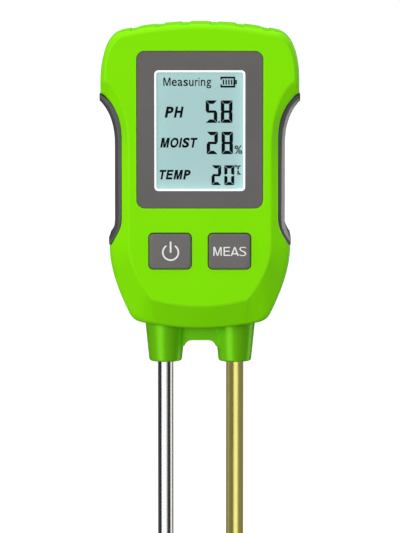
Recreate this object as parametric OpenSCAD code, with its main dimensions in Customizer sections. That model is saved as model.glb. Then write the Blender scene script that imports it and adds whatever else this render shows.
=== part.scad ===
// Hand-held soil moisture, pH and temperature meter with two ground probes.
// Millimetres. +Z is up, the display faces -Y, +X is to the right of the display.
// The origin lies on the ground-plane point midway between the two probe tips.
// Heights inside the modules are counted from the lower rim of the probe sleeves.

/* [Probes] */
// Free length of each probe below its sleeve
probe_length = 200; // [120:5:260]
// Diameter of the steel probe
steel_d = 5; // [4.8:0.1:5.2]
// Diameter of the brass probe
brass_d = 5.5; // [5.2:0.1:5.6]
// Distance between the two probe axes
probe_pitch = 21.9; // [21:0.1:22.6]
// Length of the conical point at the end of each probe
tip_length = 7; // [4:0.5:9]

/* [Body] */
// Width across the shoulders
body_w = 62.4; // [61.6:0.2:64]
// Width across the two grips at the waist
waist_w = 53; // [52.6:0.2:54]
// Width across the lower body
lower_w = 56.9; // [56.4:0.1:57.4]
// Front face, in front of the parting plane
front_depth = 16; // [16:0.1:16.4]
// Back face, behind the parting plane
back_depth = 17; // [16.8:0.1:17.4]
// Slope of the front bevel, rise over run
bevel_slope = 0.7; // [0.6:0.02:0.76]

/* [Crown] */
// Width of the finger grooves across the crown
groove_w = 2.9; // [2:0.1:3.4]
// Depth of the finger grooves
groove_t = 0.45; // [0.2:0.05:0.7]

/* [Display] */
// Width of the dark bezel panel
bezel_w = 39.1; // [38:0.1:39.6]
// Height of the dark bezel panel
bezel_h = 48.7; // [47:0.1:49.2]
// Width of the aperture in the bezel
aperture_w = 28.5; // [27.5:0.1:28.8]
// Height of the aperture in the bezel
aperture_h = 37.8; // [36:0.1:38.2]

/* [Buttons] */
// Width of a button cap
button_w = 13; // [11:0.1:13.4]
// Height of a button cap
button_h = 11; // [9:0.1:11.4]
// Distance between the two button centres
button_pitch = 18.5; // [18:0.1:19.4]
// Distance a button stands proud of the face
button_proud = 1; // [0.6:0.1:1.4]
// Gap all round a button
button_gap = 0.22; // [0.15:0.01:0.3]

/* [Battery] */
// Width of the battery block
batt_w = 26.5; // [26:0.1:26.8]
// Thickness of the battery block
batt_t = 17.5; // [16.5:0.1:17.5]
// Height of the battery block without its terminals
batt_h = 46.4; // [45:0.1:46.8]

/* [Hidden] */
$fn = 48;

green = [0.5, 0.88, 0.02];
grey = [0.39, 0.38, 0.37];
dark = [0.28, 0.28, 0.28];
steel = [0.75, 0.76, 0.78];
brass = [0.72, 0.63, 0.28];

hw = body_w / 2;
ww = waist_w / 2;
lw = lower_w / 2;
yf = -front_depth;
yb = back_depth;
px = probe_pitch / 2;

// Middle height of the bezel, the aperture and the buttons
bezel_z = 74.1;
disp_z = 73.8;
btn_z = 36.3;
bx = button_pitch / 2;

// Depth stack behind the face
bezel_y0 = yf + 0.3;
bezel_y1 = yf + 1.5;
lcd_y0 = yf + 2.3;
lcd_y1 = yf + 4.5;
light_y1 = yf + 5.9;
// Width of the white collar that shows round the window
collar = 0.7;
pcb_y0 = yf + 6.5;
pcb_y1 = yf + 8.1;

// Longest run over which a bevel deepens; the lower corners have longer columns
bevel_run = 7.2;

// Battery place: middle in depth, foot and top
batt_y = yf + 11.6 + batt_t / 2;
batt_z = 33.7;
batt_top = batt_z + batt_h;

// Screw places, right-hand side
case_screw_pts = [[22.5, 97], [15, 26.4]];
board_screw_pts = [[12, 98.2], [15.8, 46.3]];

// ---- outline helpers: 2D points are [x, z] -----------------------------

// Cubic curve, without its last point
function bez(a, b, c, d, n) = [for (i = [0:n - 1]) let (t = i / n, u = 1 - t)
  u * u * u * a + 3 * u * u * t * b + 3 * u * t * t * c + t * t * t * d];
// Straight run, without its last point
function run(a, b, n) = [for (i = [0:n - 1]) a + (b - a) * i / n];
// Shallow arch z = mid + rise at half-span xs, without its last point
function arch(x0, x1, mid, rise, xs, n) = [for (i = [0:n - 1])
  let (x = x0 + (x1 - x0) * i / n) [x, mid + rise * x * x / xs / xs]];
// Right half to full closed ring, clockwise seen from the front
function whole(h) = concat(h, [for (i = [len(h) - 2:-1:1]) [-h[i][0], h[i][1]]]);
// Moves a ring inwards
function inset(p, d) = let (n = len(p)) [for (i = [0:n - 1])
  let (t = p[(i + 1) % n] - p[(i + n - 1) % n]) p[i] + d * [t[1], -t[0]] / norm(t)];
function mix(a, b, f) = [for (i = [0:len(a) - 1]) a[i] + (b[i] - a[i]) * f];
// Radius of the turned-down shank that sits in the holder
function shank(d) = d / 2 - 0.25;
function gap_of(a, b) = [for (i = [0:len(a) - 1]) norm(a[i] - b[i])];

// Side wall outline, right half, from the crown's middle to the bottom's middle
s_half = concat(
  arch(0, 24.6, 107.2, -2.65, 24.6, 8),
  bez([24.6, 104.55], [hw - 3.3, 103.84], [hw - 0.05, 99.3], [hw, 88.5], 10),
  run([hw, 88.5], [hw, 83], 2),
  bez([hw, 83], [hw - 2.6, 80.4], [ww, 76.2], [ww, 69.5], 9),
  run([ww, 69.5], [ww, 46.5], 3),
  bez([ww, 46.5], [ww, 43.6], [ww + 0.8, 41.6], [lw, 40.1], 6),
  run([lw, 40.1], [lw, 37], 1),
  bez([lw, 37], [lw, 31], [lw - 1.95, 24.6], [lw - 5.45, 17.2], 9),
  bez([lw - 5.45, 17.2], [lw - 6.45, 15.1], [lw - 7.15, 13.55], [18.1, 12.85], 5),
  arch(18.1, 14.4, 11, 1.85, 18.1, 2),
  arch(14.4, 0, 11, 1.85, 18.1, 6), [[0, 11]]);

// Outer edge of the bevel
e_half = concat(
  arch(0, 23.6, 105.95, -2.5, 23.6, 8),
  bez([23.6, 103.45], [hw - 4.4, 102.8], [hw - 1.4, 98.8], [hw - 1.35, 88.5], 10),
  bez([hw - 1.35, 88.5], [hw - 1.35, 83.2], [ww - 2.3, 81.8], [ww - 2.25, 70.5], 11),
  run([ww - 2.25, 70.5], [ww - 2.25, 46.5], 3),
  bez([ww - 2.25, 46.5], [ww - 2.25, 41.5], [lw - 1.6, 41.5], [lw - 1.5, 36], 7),
  bez([lw - 1.5, 36], [lw - 1.5, 30.5], [lw - 4.05, 24.5], [lw - 6.75, 18], 9),
  bez([lw - 6.75, 18], [lw - 7.45, 16.4], [lw - 7.95, 15.3], [18, 14.2], 5),
  arch(18, 13.9, 12.15, 2.05, 18, 2),
  arch(13.9, 0, 12.15, 2.05, 18, 6), [[0, 12.15]]);

// Edge of the flat front face
p_half = concat(
  arch(0, 23.3, 105.5, -2.45, 23.3, 8),
  bez([23.3, 103.05], [hw - 4.75, 102.4], [hw - 1.85, 98.5], [hw - 1.8, 89.3], 10),
  bez([hw - 1.8, 89.3], [hw - 6.2, 86.4], [ww - 4.4, 79], [ww - 4.4, 68], 11),
  run([ww - 4.4, 68], [ww - 4.4, 46.5], 3),
  run([ww - 4.4, 46.5], [ww - 4.4, 38], 7),
  bez([ww - 4.4, 38], [ww - 4.4, 33], [ww - 6.9, 27.2], [14.9, 21.1], 16),
  arch(14.9, 0, 19.05, 2.05, 14.9, 6), [[0, 19.05]]);

// Edge of the flat back face
b_half = concat(
  arch(0, 21, 103, -2.3, 21, 8),
  bez([21, 100.7], [hw - 6.8, 100], [hw - 4.1, 96], [hw - 4.1, 89], 10),
  bez([hw - 4.1, 89], [hw - 4.1, 84], [ww - 4.4, 82], [ww - 4.4, 70], 11),
  run([ww - 4.4, 70], [ww - 4.4, 46.5], 3),
  run([ww - 4.4, 46.5], [ww - 4.4, 38], 7),
  bez([ww - 4.4, 38], [ww - 4.4, 33], [ww - 6.9, 27.2], [14.9, 21.1], 16),
  arch(14.9, 0, 19.05, 2.05, 14.9, 6), [[0, 19.05]]);

ring_s = whole(s_half);
ring_e = whole(e_half);
ring_p = whole(p_half);
ring_b = whole(b_half);
ring_cav = inset(ring_e, 1.5);

// Inner edge line of the right-hand grip, top to bottom
grip_in = concat(
  bez([hw, 85.2], [hw - 4.6, 82.6], [ww - 2.1, 78.6], [ww - 2.1, 71], 9),
  run([ww - 2.1, 71], [ww - 2.1, 47], 3),
  bez([ww - 2.1, 47], [ww - 2.1, 43.3], [ww - 0.9, 41], [lw - 0.15, 37.6], 6),
  [[lw - 0.15, 37.6]]);
grip_out = [for (i = [20:38]) s_half[i]];
// Front and back limits of a grip, column by column
grip_f = [for (i = [20:38]) yf + bevel_slope * norm(e_half[i] - p_half[i]) + 0.8];
grip_b = [for (i = [20:38]) yb - 0.55 * norm(e_half[i] - b_half[i]) - 0.9];

// ---- solid helpers ------------------------------------------------------

function at_y(p, ys) = [for (i = [0:len(p) - 1]) [p[i][0], ys[i], p[i][1]]];
function flat(n, y) = [for (i = [0:n - 1]) y];

// Closed solid through matched rings; dir 1 goes towards -Y, dir -1 towards +Y
module loft(rings, dir) {
  n = len(rings[0]);
  m = len(rings);
  pts = [for (r = rings) for (p = r) p];
  side = [for (k = [0:m - 2]) for (i = [0:n - 1]) let (j = (i + 1) % n)
    for (f = [[k * n + i, k * n + j, k * n + n + j], [k * n + i, k * n + n + j, k * n + n + i]]) f];
  caps = [[for (i = [n - 1:-1:0]) i], [for (i = [0:n - 1]) (m - 1) * n + i]];
  all = concat(side, caps);
  polyhedron(pts, dir > 0 ? all : [for (f = all) [for (i = [len(f) - 1:-1:0]) f[i]]]);
}

// Extrudes a 2D [x, z] shape from y0 to y1
module slab(y0, y1) {
  translate([0, y1, 0]) rotate([90, 0, 0]) linear_extrude(y1 - y0) children();
}
// Round bar along Y
module bar(p, y0, y1, r) {
  translate([p[0], y0, p[1]]) rotate([-90, 0, 0]) cylinder(h = y1 - y0, r = r);
}
// Box from its low corner to its high corner
module block(a, b) {
  translate(a) cube(b - a);
}
// Rounded rectangle, centred
module rrect(w, h, r) {
  polygon([for (q = [0:3]) for (k = [0:6])
    let (a = q * 90 + k * 15, sx = (q == 0 || q == 3) ? 1 : -1, sy = (q < 2) ? 1 : -1)
      [sx * (w / 2 - r) + r * cos(a), sy * (h / 2 - r) + r * sin(a)]]);
}
module mirrored() {
  children();
  mirror([1, 0, 0]) children();
}
module lift() {
  translate([0, 0, probe_length]) children();
}

// Smooth path through 3D points
function smooth(p, n) = concat([for (i = [0:len(p) - 2]) for (k = [0:n - 1])
  let (t = k / n, a = p[max(i - 1, 0)], b = p[i], c = p[i + 1], d = p[min(i + 2, len(p) - 1)])
    0.5 * ((2 * b) + (c - a) * t + (2 * a - 5 * b + 4 * c - d) * t * t + (3 * b - a - 3 * c + d) * t * t * t)],
  [p[len(p) - 1]]);
// Round wire along a path
module wire(p, r, k = 8) {
  n = len(p);
  tan = [for (i = [0:n - 1]) let (t = p[min(i + 1, n - 1)] - p[max(i - 1, 0)]) t / norm(t)];
  pts = [for (i = [0:n - 1])
    let (u0 = cross(tan[i], abs(tan[i][1]) < 0.8 ? [0, 1, 0] : [1, 0, 0]), u = u0 / norm(u0), v = cross(tan[i], u))
      for (j = [0:k - 1]) p[i] + r * (u * cos(360 * j / k) + v * sin(360 * j / k))];
  polyhedron(pts, concat(
    [for (i = [0:n - 2]) for (j = [0:k - 1]) let (q = (j + 1) % k)
      for (f = [[i * k + j, (i + 1) * k + j, (i + 1) * k + q], [i * k + j, (i + 1) * k + q, i * k + q]]) f],
    [[for (j = [0:k - 1]) j], [for (j = [k - 1:-1:0]) (n - 1) * k + j]]));
}

// ---- body shells --------------------------------------------------------

module front_hull() {
  n = len(ring_s);
  g = gap_of(ring_e, ring_p);
  ye = [for (i = [0:n - 1]) yf + bevel_slope * min(g[i], bevel_run)];
  s1 = inset(ring_s, 0.3);
  difference() {
    loft([
    at_y(ring_s, flat(n, 1)),
    at_y(s1, [for (y = ye) y + 1.6]),
    at_y(mix(s1, ring_e, 0.29), [for (y = ye) y + 0.47]),
    at_y(ring_e, ye),
    at_y(ring_p, flat(n, yf))], 1);
    block([-50, 0, -10], [50, 5, 150]);
  }
}

module rear_hull() {
  n = len(ring_s);
  g = gap_of(ring_e, ring_b);
  ye = [for (i = [0:n - 1]) yb - 0.55 * min(g[i], bevel_run)];
  s1 = inset(ring_s, 0.35);
  difference() {
    loft([
    at_y(ring_s, flat(n, -1)),
    at_y(s1, [for (y = ye) y - 1.8]),
    at_y(mix(s1, ring_e, 0.29), [for (y = ye) y - 0.5]),
    at_y(ring_e, ye),
    at_y(ring_b, flat(n, yb))], -1);
    block([-50, -5, -10], [50, 0, 150]);
  }
}

// Finger grooves over the crown
module crown_grooves() {
  for (x = [-20.5, -12.6, -4.5, 4.5, 12.6, 20.5])
    translate([x, 0, 107.2 - 2.65 * x * x / 24.6 / 24.6])
      rotate([0, atan(5.3 * x / 24.6 / 24.6), 0])
        cube([groove_w, 40, 2 * groove_t], center = true);
}

// Room for the grip on the right-hand side
module grip_pocket() {
  slab(-20, 20) polygon(concat(
    [[hw + 3, 86.9], [hw + 3, 33.9]],
    [[lw + 2, 34.8]],
    [for (i = [len(grip_in) - 1:-1:0]) grip_in[i] - [0.1, 0]]));
  block([ww - 3.3, -3.1, 48], [ww - 2, 3.1, 68]);
}

// Passage for the two sleeves and the web between them
module holder_passage() {
  mirrored() translate([px, 0, -0.1]) cylinder(h = 16, r1 = 5.3, r2 = 6.98);
  block([-px, -2.7, 6], [px, 2.7, 16]);
}

module case_cavity_front() {
  slab(yf + 5.6, 2) polygon(ring_cav);
  slab(yf + 2, yf + 5.7) polygon(inset(ring_p, 0.8));
}

module front_case() lift() color(green) difference() {
  union() {
    difference() {
      front_hull();
      case_cavity_front();
    }
    // Ledge that carries the bezel, the window and the display
    slab(yf + 1.9, yf + 3) translate([0, bezel_z]) rrect(bezel_w + 2.9, bezel_h + 3, 3.5);
    // Posts for the main board
    mirrored() for (p = board_screw_pts) bar(p, yf + 1.9, pcb_y0 - 0.02, 2.3);
    // Posts for the case screws
    mirrored() for (p = case_screw_pts) bar(p, yf + 1.9, -0.5, 3);
    // Rib that holds the probe holder's plate down
    block([-5.5, yf + 4.3, 18], [5.5, -5.5, 19.4]);
  }
  mirrored() grip_pocket();
  crown_grooves();
  holder_passage();
  // Recess for the bezel, then the opening for the display
  slab(yf - 1, bezel_y1) translate([0, bezel_z]) rrect(bezel_w + 0.24, bezel_h + 0.24, 2.6);
  slab(yf, yf + 4) translate([0, disp_z]) rrect(33, 42.4, 0.8);
  // Button openings
  for (x = [-bx, bx])
    slab(yf - 1, yf + 3) translate([x, btn_z]) rrect(button_w + 2 * button_gap, button_h + 2 * button_gap, 1.5);
  mirrored() for (p = board_screw_pts) bar(p, pcb_y0 - 4.2, 0, 0.92);
  mirrored() for (p = case_screw_pts) bar(p, -10.5, 0, 1.22);
}

module rear_case() lift() color(green) difference() {
  union() {
    difference() {
      rear_hull();
      slab(-2, yb - 5) polygon(ring_cav);
      slab(yb - 5.1, yb - 2) polygon(inset(ring_b, 0.8));
    }
    // Locking tongue inside the front shell
    slab(-1.4, 1) difference() {
      polygon(inset(ring_e, 1.6));
      polygon(inset(ring_e, 2.6));
      // Stops short of the probe holder's plate
      translate([-19.5, 5]) square([39, 15.5]);
    }
    // Battery compartment
    block([-16.6, yf + 10.2, 31.1], [16.6, yb - 1.9, 95.9]);
    // Columns for the case screws
    mirrored() for (p = case_screw_pts) bar(p, -0.45, yb - 1.9, 3.4);
    // Rib that holds the probe holder's plate down
    block([-5.5, 5.5, 18], [5.5, yb - 4.9, 19.4]);
  }
  mirrored() grip_pocket();
  crown_grooves();
  holder_passage();
  block([-14.2, yf + 11.4, 33.5], [14.2, yb + 1, 93.5]);
  slab(yb - 2, yb + 1) translate([0, 63.5]) rrect(32.2, 64.2, 3);
  // Finger notch above the door's latch
  slab(yb - 1.2, yb + 1) translate([0, 95.6]) rrect(13, 4.4, 1.6);
  // Passage for the battery leads
  bar([0, 90.6], yf + 9, yf + 12, 2.2);
  mirrored() for (p = case_screw_pts) {
    bar(p, -1, yb, 1.3);
    bar(p, 3, yb + 1, 2.7);
  }
}

module battery_door() lift() color(green) {
  difference() {
    union() {
      slab(yb - 2, yb) translate([0, 63.5]) rrect(31.9, 63.9, 2.85);
      // Inner frame that enters the compartment
      slab(yb - 3.6, yb - 1.9) translate([0, 63.5]) difference() {
        rrect(28.1, 59.7, 1);
        rrect(25.7, 57.3, 1);
      }
      // Latch tongue in the finger notch
      slab(yb - 1.15, yb - 0.4) translate([0, 95.4]) rrect(9, 3.4, 1.2);
    }
    // Shallow finger ribs
    for (k = [0:4]) slab(yb - 0.4, yb + 1) translate([0, 82 + 2.2 * k]) rrect(14, 0.9, 0.4);
  }
}

// Column by column: the grip follows the bevels, a little below their edges
module grip() {
  n = len(grip_in);
  a = concat([[hw, 85.1]], [for (i = [1:n - 2]) grip_in[i]], [[lw - 0.1, 37.75]]);
  union() {
    loft([for (i = [0:n - 1])
      let (o = grip_out[i], d = norm(o - a[i]), m = o + (a[i] - o) * min(0.9, 0.45 * d) / d, f = grip_f[i], b = grip_b[i])
        [[a[i][0], f, a[i][1]], [m[0], f, m[1]], [o[0], f + 0.8, o[1]],
          [o[0], b - 0.8, o[1]], [m[0], b, m[1]], [a[i][0], b, a[i][1]]]], 1);
    block([ww - 3.15, -3, 48.2], [ww - 2, 3, 67.8]);
  }
}
module right_grip() lift() color(dark) grip();
module left_grip() lift() color(dark) mirror([1, 0, 0]) grip();

// ---- display ------------------------------------------------------------

module display_bezel() lift() color(grey) difference() {
  slab(bezel_y0, bezel_y1) translate([0, bezel_z]) rrect(bezel_w, bezel_h, 2.5);
  slab(bezel_y0 - 1, bezel_y1 + 1) translate([0, disp_z]) rrect(aperture_w, aperture_h, 1);
}

module display_window() lift() color([0.85, 0.92, 0.95, 0.4])
  slab(bezel_y0 + 0.15, lcd_y0 - 0.2) translate([0, disp_z])
    rrect(aperture_w - 2 * collar - 0.12, aperture_h - 2 * collar - 0.12, 0.35);

// White light frame: a collar that fills the bezel's aperture, on a box that holds the glass
module lcd_frame() lift() color([0.95, 0.96, 0.96]) difference() {
  union() {
    slab(bezel_y0 + 0.05, bezel_y1 + 0.5) translate([0, disp_z]) rrect(aperture_w - 0.1, aperture_h - 0.1, 0.95);
    slab(bezel_y1 + 0.03, light_y1) translate([0, disp_z]) rrect(32.6, 42, 0.8);
  }
  slab(bezel_y0 - 1, lcd_y0 + 1) translate([0, disp_z]) rrect(aperture_w - 2 * collar, aperture_h - 2 * collar, 0.4);
  slab(lcd_y0, light_y1 + 1) translate([0, disp_z]) rrect(30.4, 40.4, 0.3);
}

module lcd_glass() lift() color([0.66, 0.8, 0.79]) {
  slab(lcd_y0 + 0.02, lcd_y0 + 1.1) translate([0, disp_z]) rrect(30, 38, 0.2);
  slab(lcd_y0 + 1.12, lcd_y1) translate([0, disp_z]) rrect(30, 40.2, 0.2);
}

module backlight_panel() lift() color([0.93, 0.95, 0.92])
  slab(lcd_y1 + 0.02, light_y1) translate([0, disp_z]) rrect(29.6, 36.6, 0.3);

module lcd_connector_strips() lift() color([0.85, 0.55, 0.6])
  for (z = [disp_z - 19.3, disp_z + 19.3])
    block([-14, lcd_y1 + 0.02, z - 0.7], [14, pcb_y0 - 0.02, z + 0.7]);

// ---- electronics --------------------------------------------------------

module main_board() lift() color([0.05, 0.35, 0.2]) difference() {
  slab(pcb_y0, pcb_y1) polygon([
    [-18.6, 30], [18.6, 30], [18.6, 98.5], [15.5, 101.6], [-15.5, 101.6], [-18.6, 98.5]]);
  mirrored() for (p = board_screw_pts) bar(p, pcb_y0 - 1, pcb_y1 + 1, 1.15);
}

module controller_chip() lift() color([0.1, 0.1, 0.11]) union() {
  block([-5, pcb_y1 + 0.12, 57], [5, pcb_y1 + 1.5, 67]);
  for (k = [0:7]) {
    z = 58.35 + 1.05 * k;
    block([-6, pcb_y1, z - 0.2], [6, pcb_y1 + 0.35, z + 0.2]);
  }
}

module board_components() lift() color([0.6, 0.5, 0.35]) {
  // Two capacitors, a crystal and rows of small chip parts
  for (x = [-13, -9.5]) block([x - 1, pcb_y1, 50], [x + 1, pcb_y1 + 1.4, 53.2]);
  block([8.5, pcb_y1, 59], [13.5, pcb_y1 + 1.6, 61.4]);
  for (k = [0:5]) block([-14 + 2.6 * k, pcb_y1, 72], [-12.8 + 2.6 * k, pcb_y1 + 0.6, 74]);
  for (k = [0:4]) block([8, pcb_y1, 44 + 2.4 * k], [10, pcb_y1 + 0.6, 45.2 + 2.4 * k]);
  block([-3, pcb_y1, 82], [3, pcb_y1 + 1.5, 86]);
}

// Push switch: housing with a round well for its plunger
module switch_body(x) {
  y = pcb_y0;
  difference() {
    union() {
      slab(y - 3.1, y - 0.01) translate([x, btn_z]) rrect(6, 6, 0.3);
      for (s = [-1, 1], t = [-1, 1])
        block([x + s * 3.5 - 0.6, y - 0.35, btn_z + t * 2.25 - 0.35], [x + s * 3.5 + 0.6, y - 0.01, btn_z + t * 2.25 + 0.35]);
    }
    bar([x, btn_z], y - 4, y - 1.2, 1.75);
  }
}
module power_switch() lift() color([0.15, 0.15, 0.16]) switch_body(-bx);
module measure_switch() lift() color([0.15, 0.15, 0.16]) switch_body(bx);

module plunger(x) bar([x, btn_z], pcb_y0 - 3.6, pcb_y0 - 1.7, 1.7);
module power_plunger() lift() color([0.8, 0.8, 0.78]) plunger(-bx);
module measure_plunger() lift() color([0.8, 0.8, 0.78]) plunger(bx);

// Button cap with its retaining flange and push nub
module button(x) {
  union() {
    slab(yf - button_proud + 0.5, yf + 2.15) translate([x, btn_z]) rrect(button_w, button_h, 1.3);
    slab(yf - button_proud, yf - button_proud + 0.55) translate([x, btn_z]) rrect(button_w - 0.7, button_h - 0.7, 1);
    slab(yf + 2.1, yf + 2.75) translate([x, btn_z]) rrect(button_w + 1.9, button_h + 2.2, 1.6);
    bar([x, btn_z], yf + 2.7, pcb_y0 - 3.62, 1.5);
  }
}
module power_button() lift() color(grey) button(-bx);
module measure_button() lift() color(grey) button(bx);

module wire_header() lift() color([0.92, 0.91, 0.86]) difference() {
  block([-9, pcb_y1, 30.3], [3, pcb_y1 + 1.98, 34]);
  for (k = [0:3]) block([-8.1 + 2.8 * k, pcb_y1 + 0.4, 29], [-6.3 + 2.8 * k, pcb_y1 + 1.7, 32.6]);
}

// ---- probes -------------------------------------------------------------

// Section of one tapered sleeve with its rounded lower rim
module sleeve_profile() {
  polygon(concat(
    [[0, 0]],
    [for (k = [0:6]) [4.6 + 0.6 * sin(15 * k), 0.6 - 0.6 * cos(15 * k)]],
    [[6.72, 15.5], [0, 15.5]]));
}

module probe_holder() lift() color(green) difference() {
  union() {
    mirrored() translate([px, 0, 0]) rotate_extrude() sleeve_profile();
    // Web between the sleeves, arched where it meets them
    block([-px, -2.5, 6.9], [px, 2.5, 15.5]);
    mirrored() slab(-2.5, 2.5) difference() {
      translate([2.6, 4.3]) square([3.4, 2.7]);
      translate([2.6, 4.3]) circle(r = 2.6);
    }
    // Plate inside the body
    block([-15.4, -8, 15.4], [15.4, 8, 17.9]);
  }
  for (q = [[-px, shank(steel_d)], [px, shank(brass_d)]]) translate([q[0], 0, 0]) {
    translate([0, 0, -1]) cylinder(h = 20, r = q[1] + 0.02);
    translate([0, 0, 16.2]) cylinder(h = 3, r = q[1] + 1.75);
  }
}

// Probe: point, shaft and threaded-size stud for the terminal
module probe_body(r) {
  rotate_extrude() polygon(concat(
    [[0, 0], [0.5, 0.15], [r - 0.3, tip_length - 0.8], [r - 0.08, tip_length - 0.25], [r, tip_length + 0.4]],
    [[r, probe_length - 0.02], [r - 0.25, probe_length - 0.02], [r - 0.25, probe_length + 17.95], [2, probe_length + 17.95], [2, probe_length + 23], [1.7, probe_length + 23.4], [0, probe_length + 23.4]]));
}
module steel_probe() color(steel) translate([-px, 0, 0]) difference() {
  probe_body(steel_d / 2);
  translate([0, 0, 12]) cylinder(h = probe_length + 20, r = 1.4);
}
module brass_probe() color(brass) translate([px, 0, 0]) probe_body(brass_d / 2);

// Bead near the point of the hollow steel probe, with its two leads
module temperature_sensor() color([0.2, 0.2, 0.6]) {
  translate([-px, 0, 13]) cylinder(h = 4, r = 1.15);
  for (s = [-1, 1]) {
    x = -px + s * 0.55;
    wire(concat([[x, 0, 17.02], [x, 0, probe_length / 2]],
      [for (q = smooth([[x, 0, 21], [x, 0, 23.6], [x + 2.2, -2.6, 26], [-3 + s * 1.4, -6.85, 29.4], [-3 + s * 1.4, -6.85, 31.6]], 4))
        q + [0, 0, probe_length]]), 0.32);
  }
}

module probe_seals() lift() color([0.08, 0.08, 0.08])
  for (q = [[-px, shank(steel_d)], [px, shank(brass_d)]]) translate([q[0], 0, 17.06])
    rotate_extrude() translate([q[1] + 0.86, 0]) circle(r = 0.82);

// Washer-shaped terminal with a crimp tail
module ring_terminals() lift() color(brass)
  for (x = [-px, px]) translate([x, 0, 18]) difference() {
    union() {
      cylinder(h = 0.8, r = 3.9);
      block([-1.3, -7.6, 0], [1.3, -3, 0.8]);
      translate([0, -5.6, 1]) rotate([90, 0, 0]) cylinder(h = 2, r = 1.05);
    }
    translate([0, 0, -1]) cylinder(h = 3, r = 2.05);
    translate([0, -5.4, 1]) rotate([90, 0, 0]) cylinder(h = 2.4, r = 0.72);
  }

module probe_nuts() lift() color(steel)
  for (x = [-px, px]) translate([x, 0, 18.85]) difference() {
    cylinder(h = 3.2, r = 4.04, $fn = 6);
    translate([0, 0, -1]) cylinder(h = 5, r = 2.03);
  }

module probe_wires() lift() color([0.15, 0.3, 0.75]) {
  hy = pcb_y1 + 1.05;
  wire(smooth([[-px, -6.3, 19], [-px, -8, 19], [-px + 0.4, -9.2, 19.9], [-9.6, -9.2, 22.5],
    [-8.2, -8, 26], [-7.2, hy, 29], [-7.2, hy, 31.8]], 4), 0.55);
  wire(smooth([[px, -6.3, 19], [px, -8, 19], [px - 0.4, -9.2, 19.9], [9.4, -9.2, 22.5],
    [5, -8.6, 25.6], [1.8, -7.2, 28.4], [1.2, hy, 30], [1.2, hy, 31.8]], 4), 0.55);
}

// ---- power supply -------------------------------------------------------

module battery() lift() color([0.12, 0.12, 0.13])
  translate([0, batt_y, batt_z]) linear_extrude(batt_h) rrect(batt_w, batt_t, 2);

module battery_terminals() lift() color(steel) {
  translate([-6.35, batt_y, batt_top]) cylinder(h = 1.9, r = 2.75);
  translate([6.35, batt_y, batt_top]) difference() {
    cylinder(h = 1.9, r = 3.9);
    translate([0, 0, 0.5]) cylinder(h = 3, r = 2.9);
  }
}

module snap_connector() lift() color([0.1, 0.1, 0.1]) difference() {
  translate([0, batt_y, batt_top + 3.2]) linear_extrude(2.2) rrect(25, 12, 3);
  for (x = [-2.6, 2.6]) translate([x, batt_y - 3.5, batt_top + 2]) cylinder(h = 5, r = 0.72);
}

module snap_contacts() lift() color(steel) {
  translate([-6.35, batt_y, batt_top + 0.1]) difference() {
    cylinder(h = 3.05, r = 3.9);
    translate([0, 0, -1]) cylinder(h = 3.2, r = 2.85);
  }
  translate([6.35, batt_y, batt_top + 0.6]) cylinder(h = 2.55, r = 2.7);
}

// Pair of leads from the snap connector through the wall to the board
module battery_leads() lift() color([0.75, 0.1, 0.08])
  for (s = [-1, 1]) {
    y = batt_y - 3.5;
    wire(smooth([[s * 2.6, y, batt_top + 3.5], [s * 2.6, y, batt_top + 6.2], [s * 2.2, y - 2.2, 89], [s * 1, yf + 12.6, 90.5],
      [s * 1, yf + 9.6, 90.6], [s * 1.5, pcb_y1 + 0.7, 90.6], [s * 1.5, pcb_y1 + 0.02, 90.6]], 3), 0.62);
  }

module battery_foam() lift() color([0.25, 0.25, 0.26])
  block([-9, yb - 3.7, 42], [9, yb - 2.01, 76]);

// ---- fasteners ----------------------------------------------------------

// Pan-head screw pointing towards -Y from the seat at y0, with a cross recess
module screw(p, y0, r, rh, hh, len) {
  difference() {
    union() {
      bar(p, y0 - len, y0 + 0.1, r);
      bar(p, y0, y0 + hh, rh);
    }
    for (a = [0, 90]) translate([p[0], y0 + hh, p[1]]) rotate([0, a, 0])
      cube([rh * 1.1, hh * 1.1, rh * 0.28], center = true);
  }
}
module case_screws() lift() color(steel)
  mirrored() for (p = case_screw_pts) screw(p, 3.01, 1.2, 2.4, 1.7, 13);
module board_screws() lift() color(steel)
  mirrored() for (p = board_screw_pts) screw(p, pcb_y1 + 0.01, 0.9, 2, 1.2, 5.4);

front_case();
rear_case();
battery_door();
left_grip();
right_grip();
display_bezel();
display_window();
lcd_frame();
lcd_glass();
backlight_panel();
lcd_connector_strips();
main_board();
controller_chip();
board_components();
power_switch();
measure_switch();
power_plunger();
measure_plunger();
power_button();
measure_button();
probe_holder();
steel_probe();
brass_probe();
temperature_sensor();
probe_seals();
ring_terminals();
probe_nuts();
probe_wires();
wire_header();
battery();
battery_terminals();
snap_connector();
snap_contacts();
battery_leads();
battery_foam();
case_screws();
board_screws();
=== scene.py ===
import math

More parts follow.
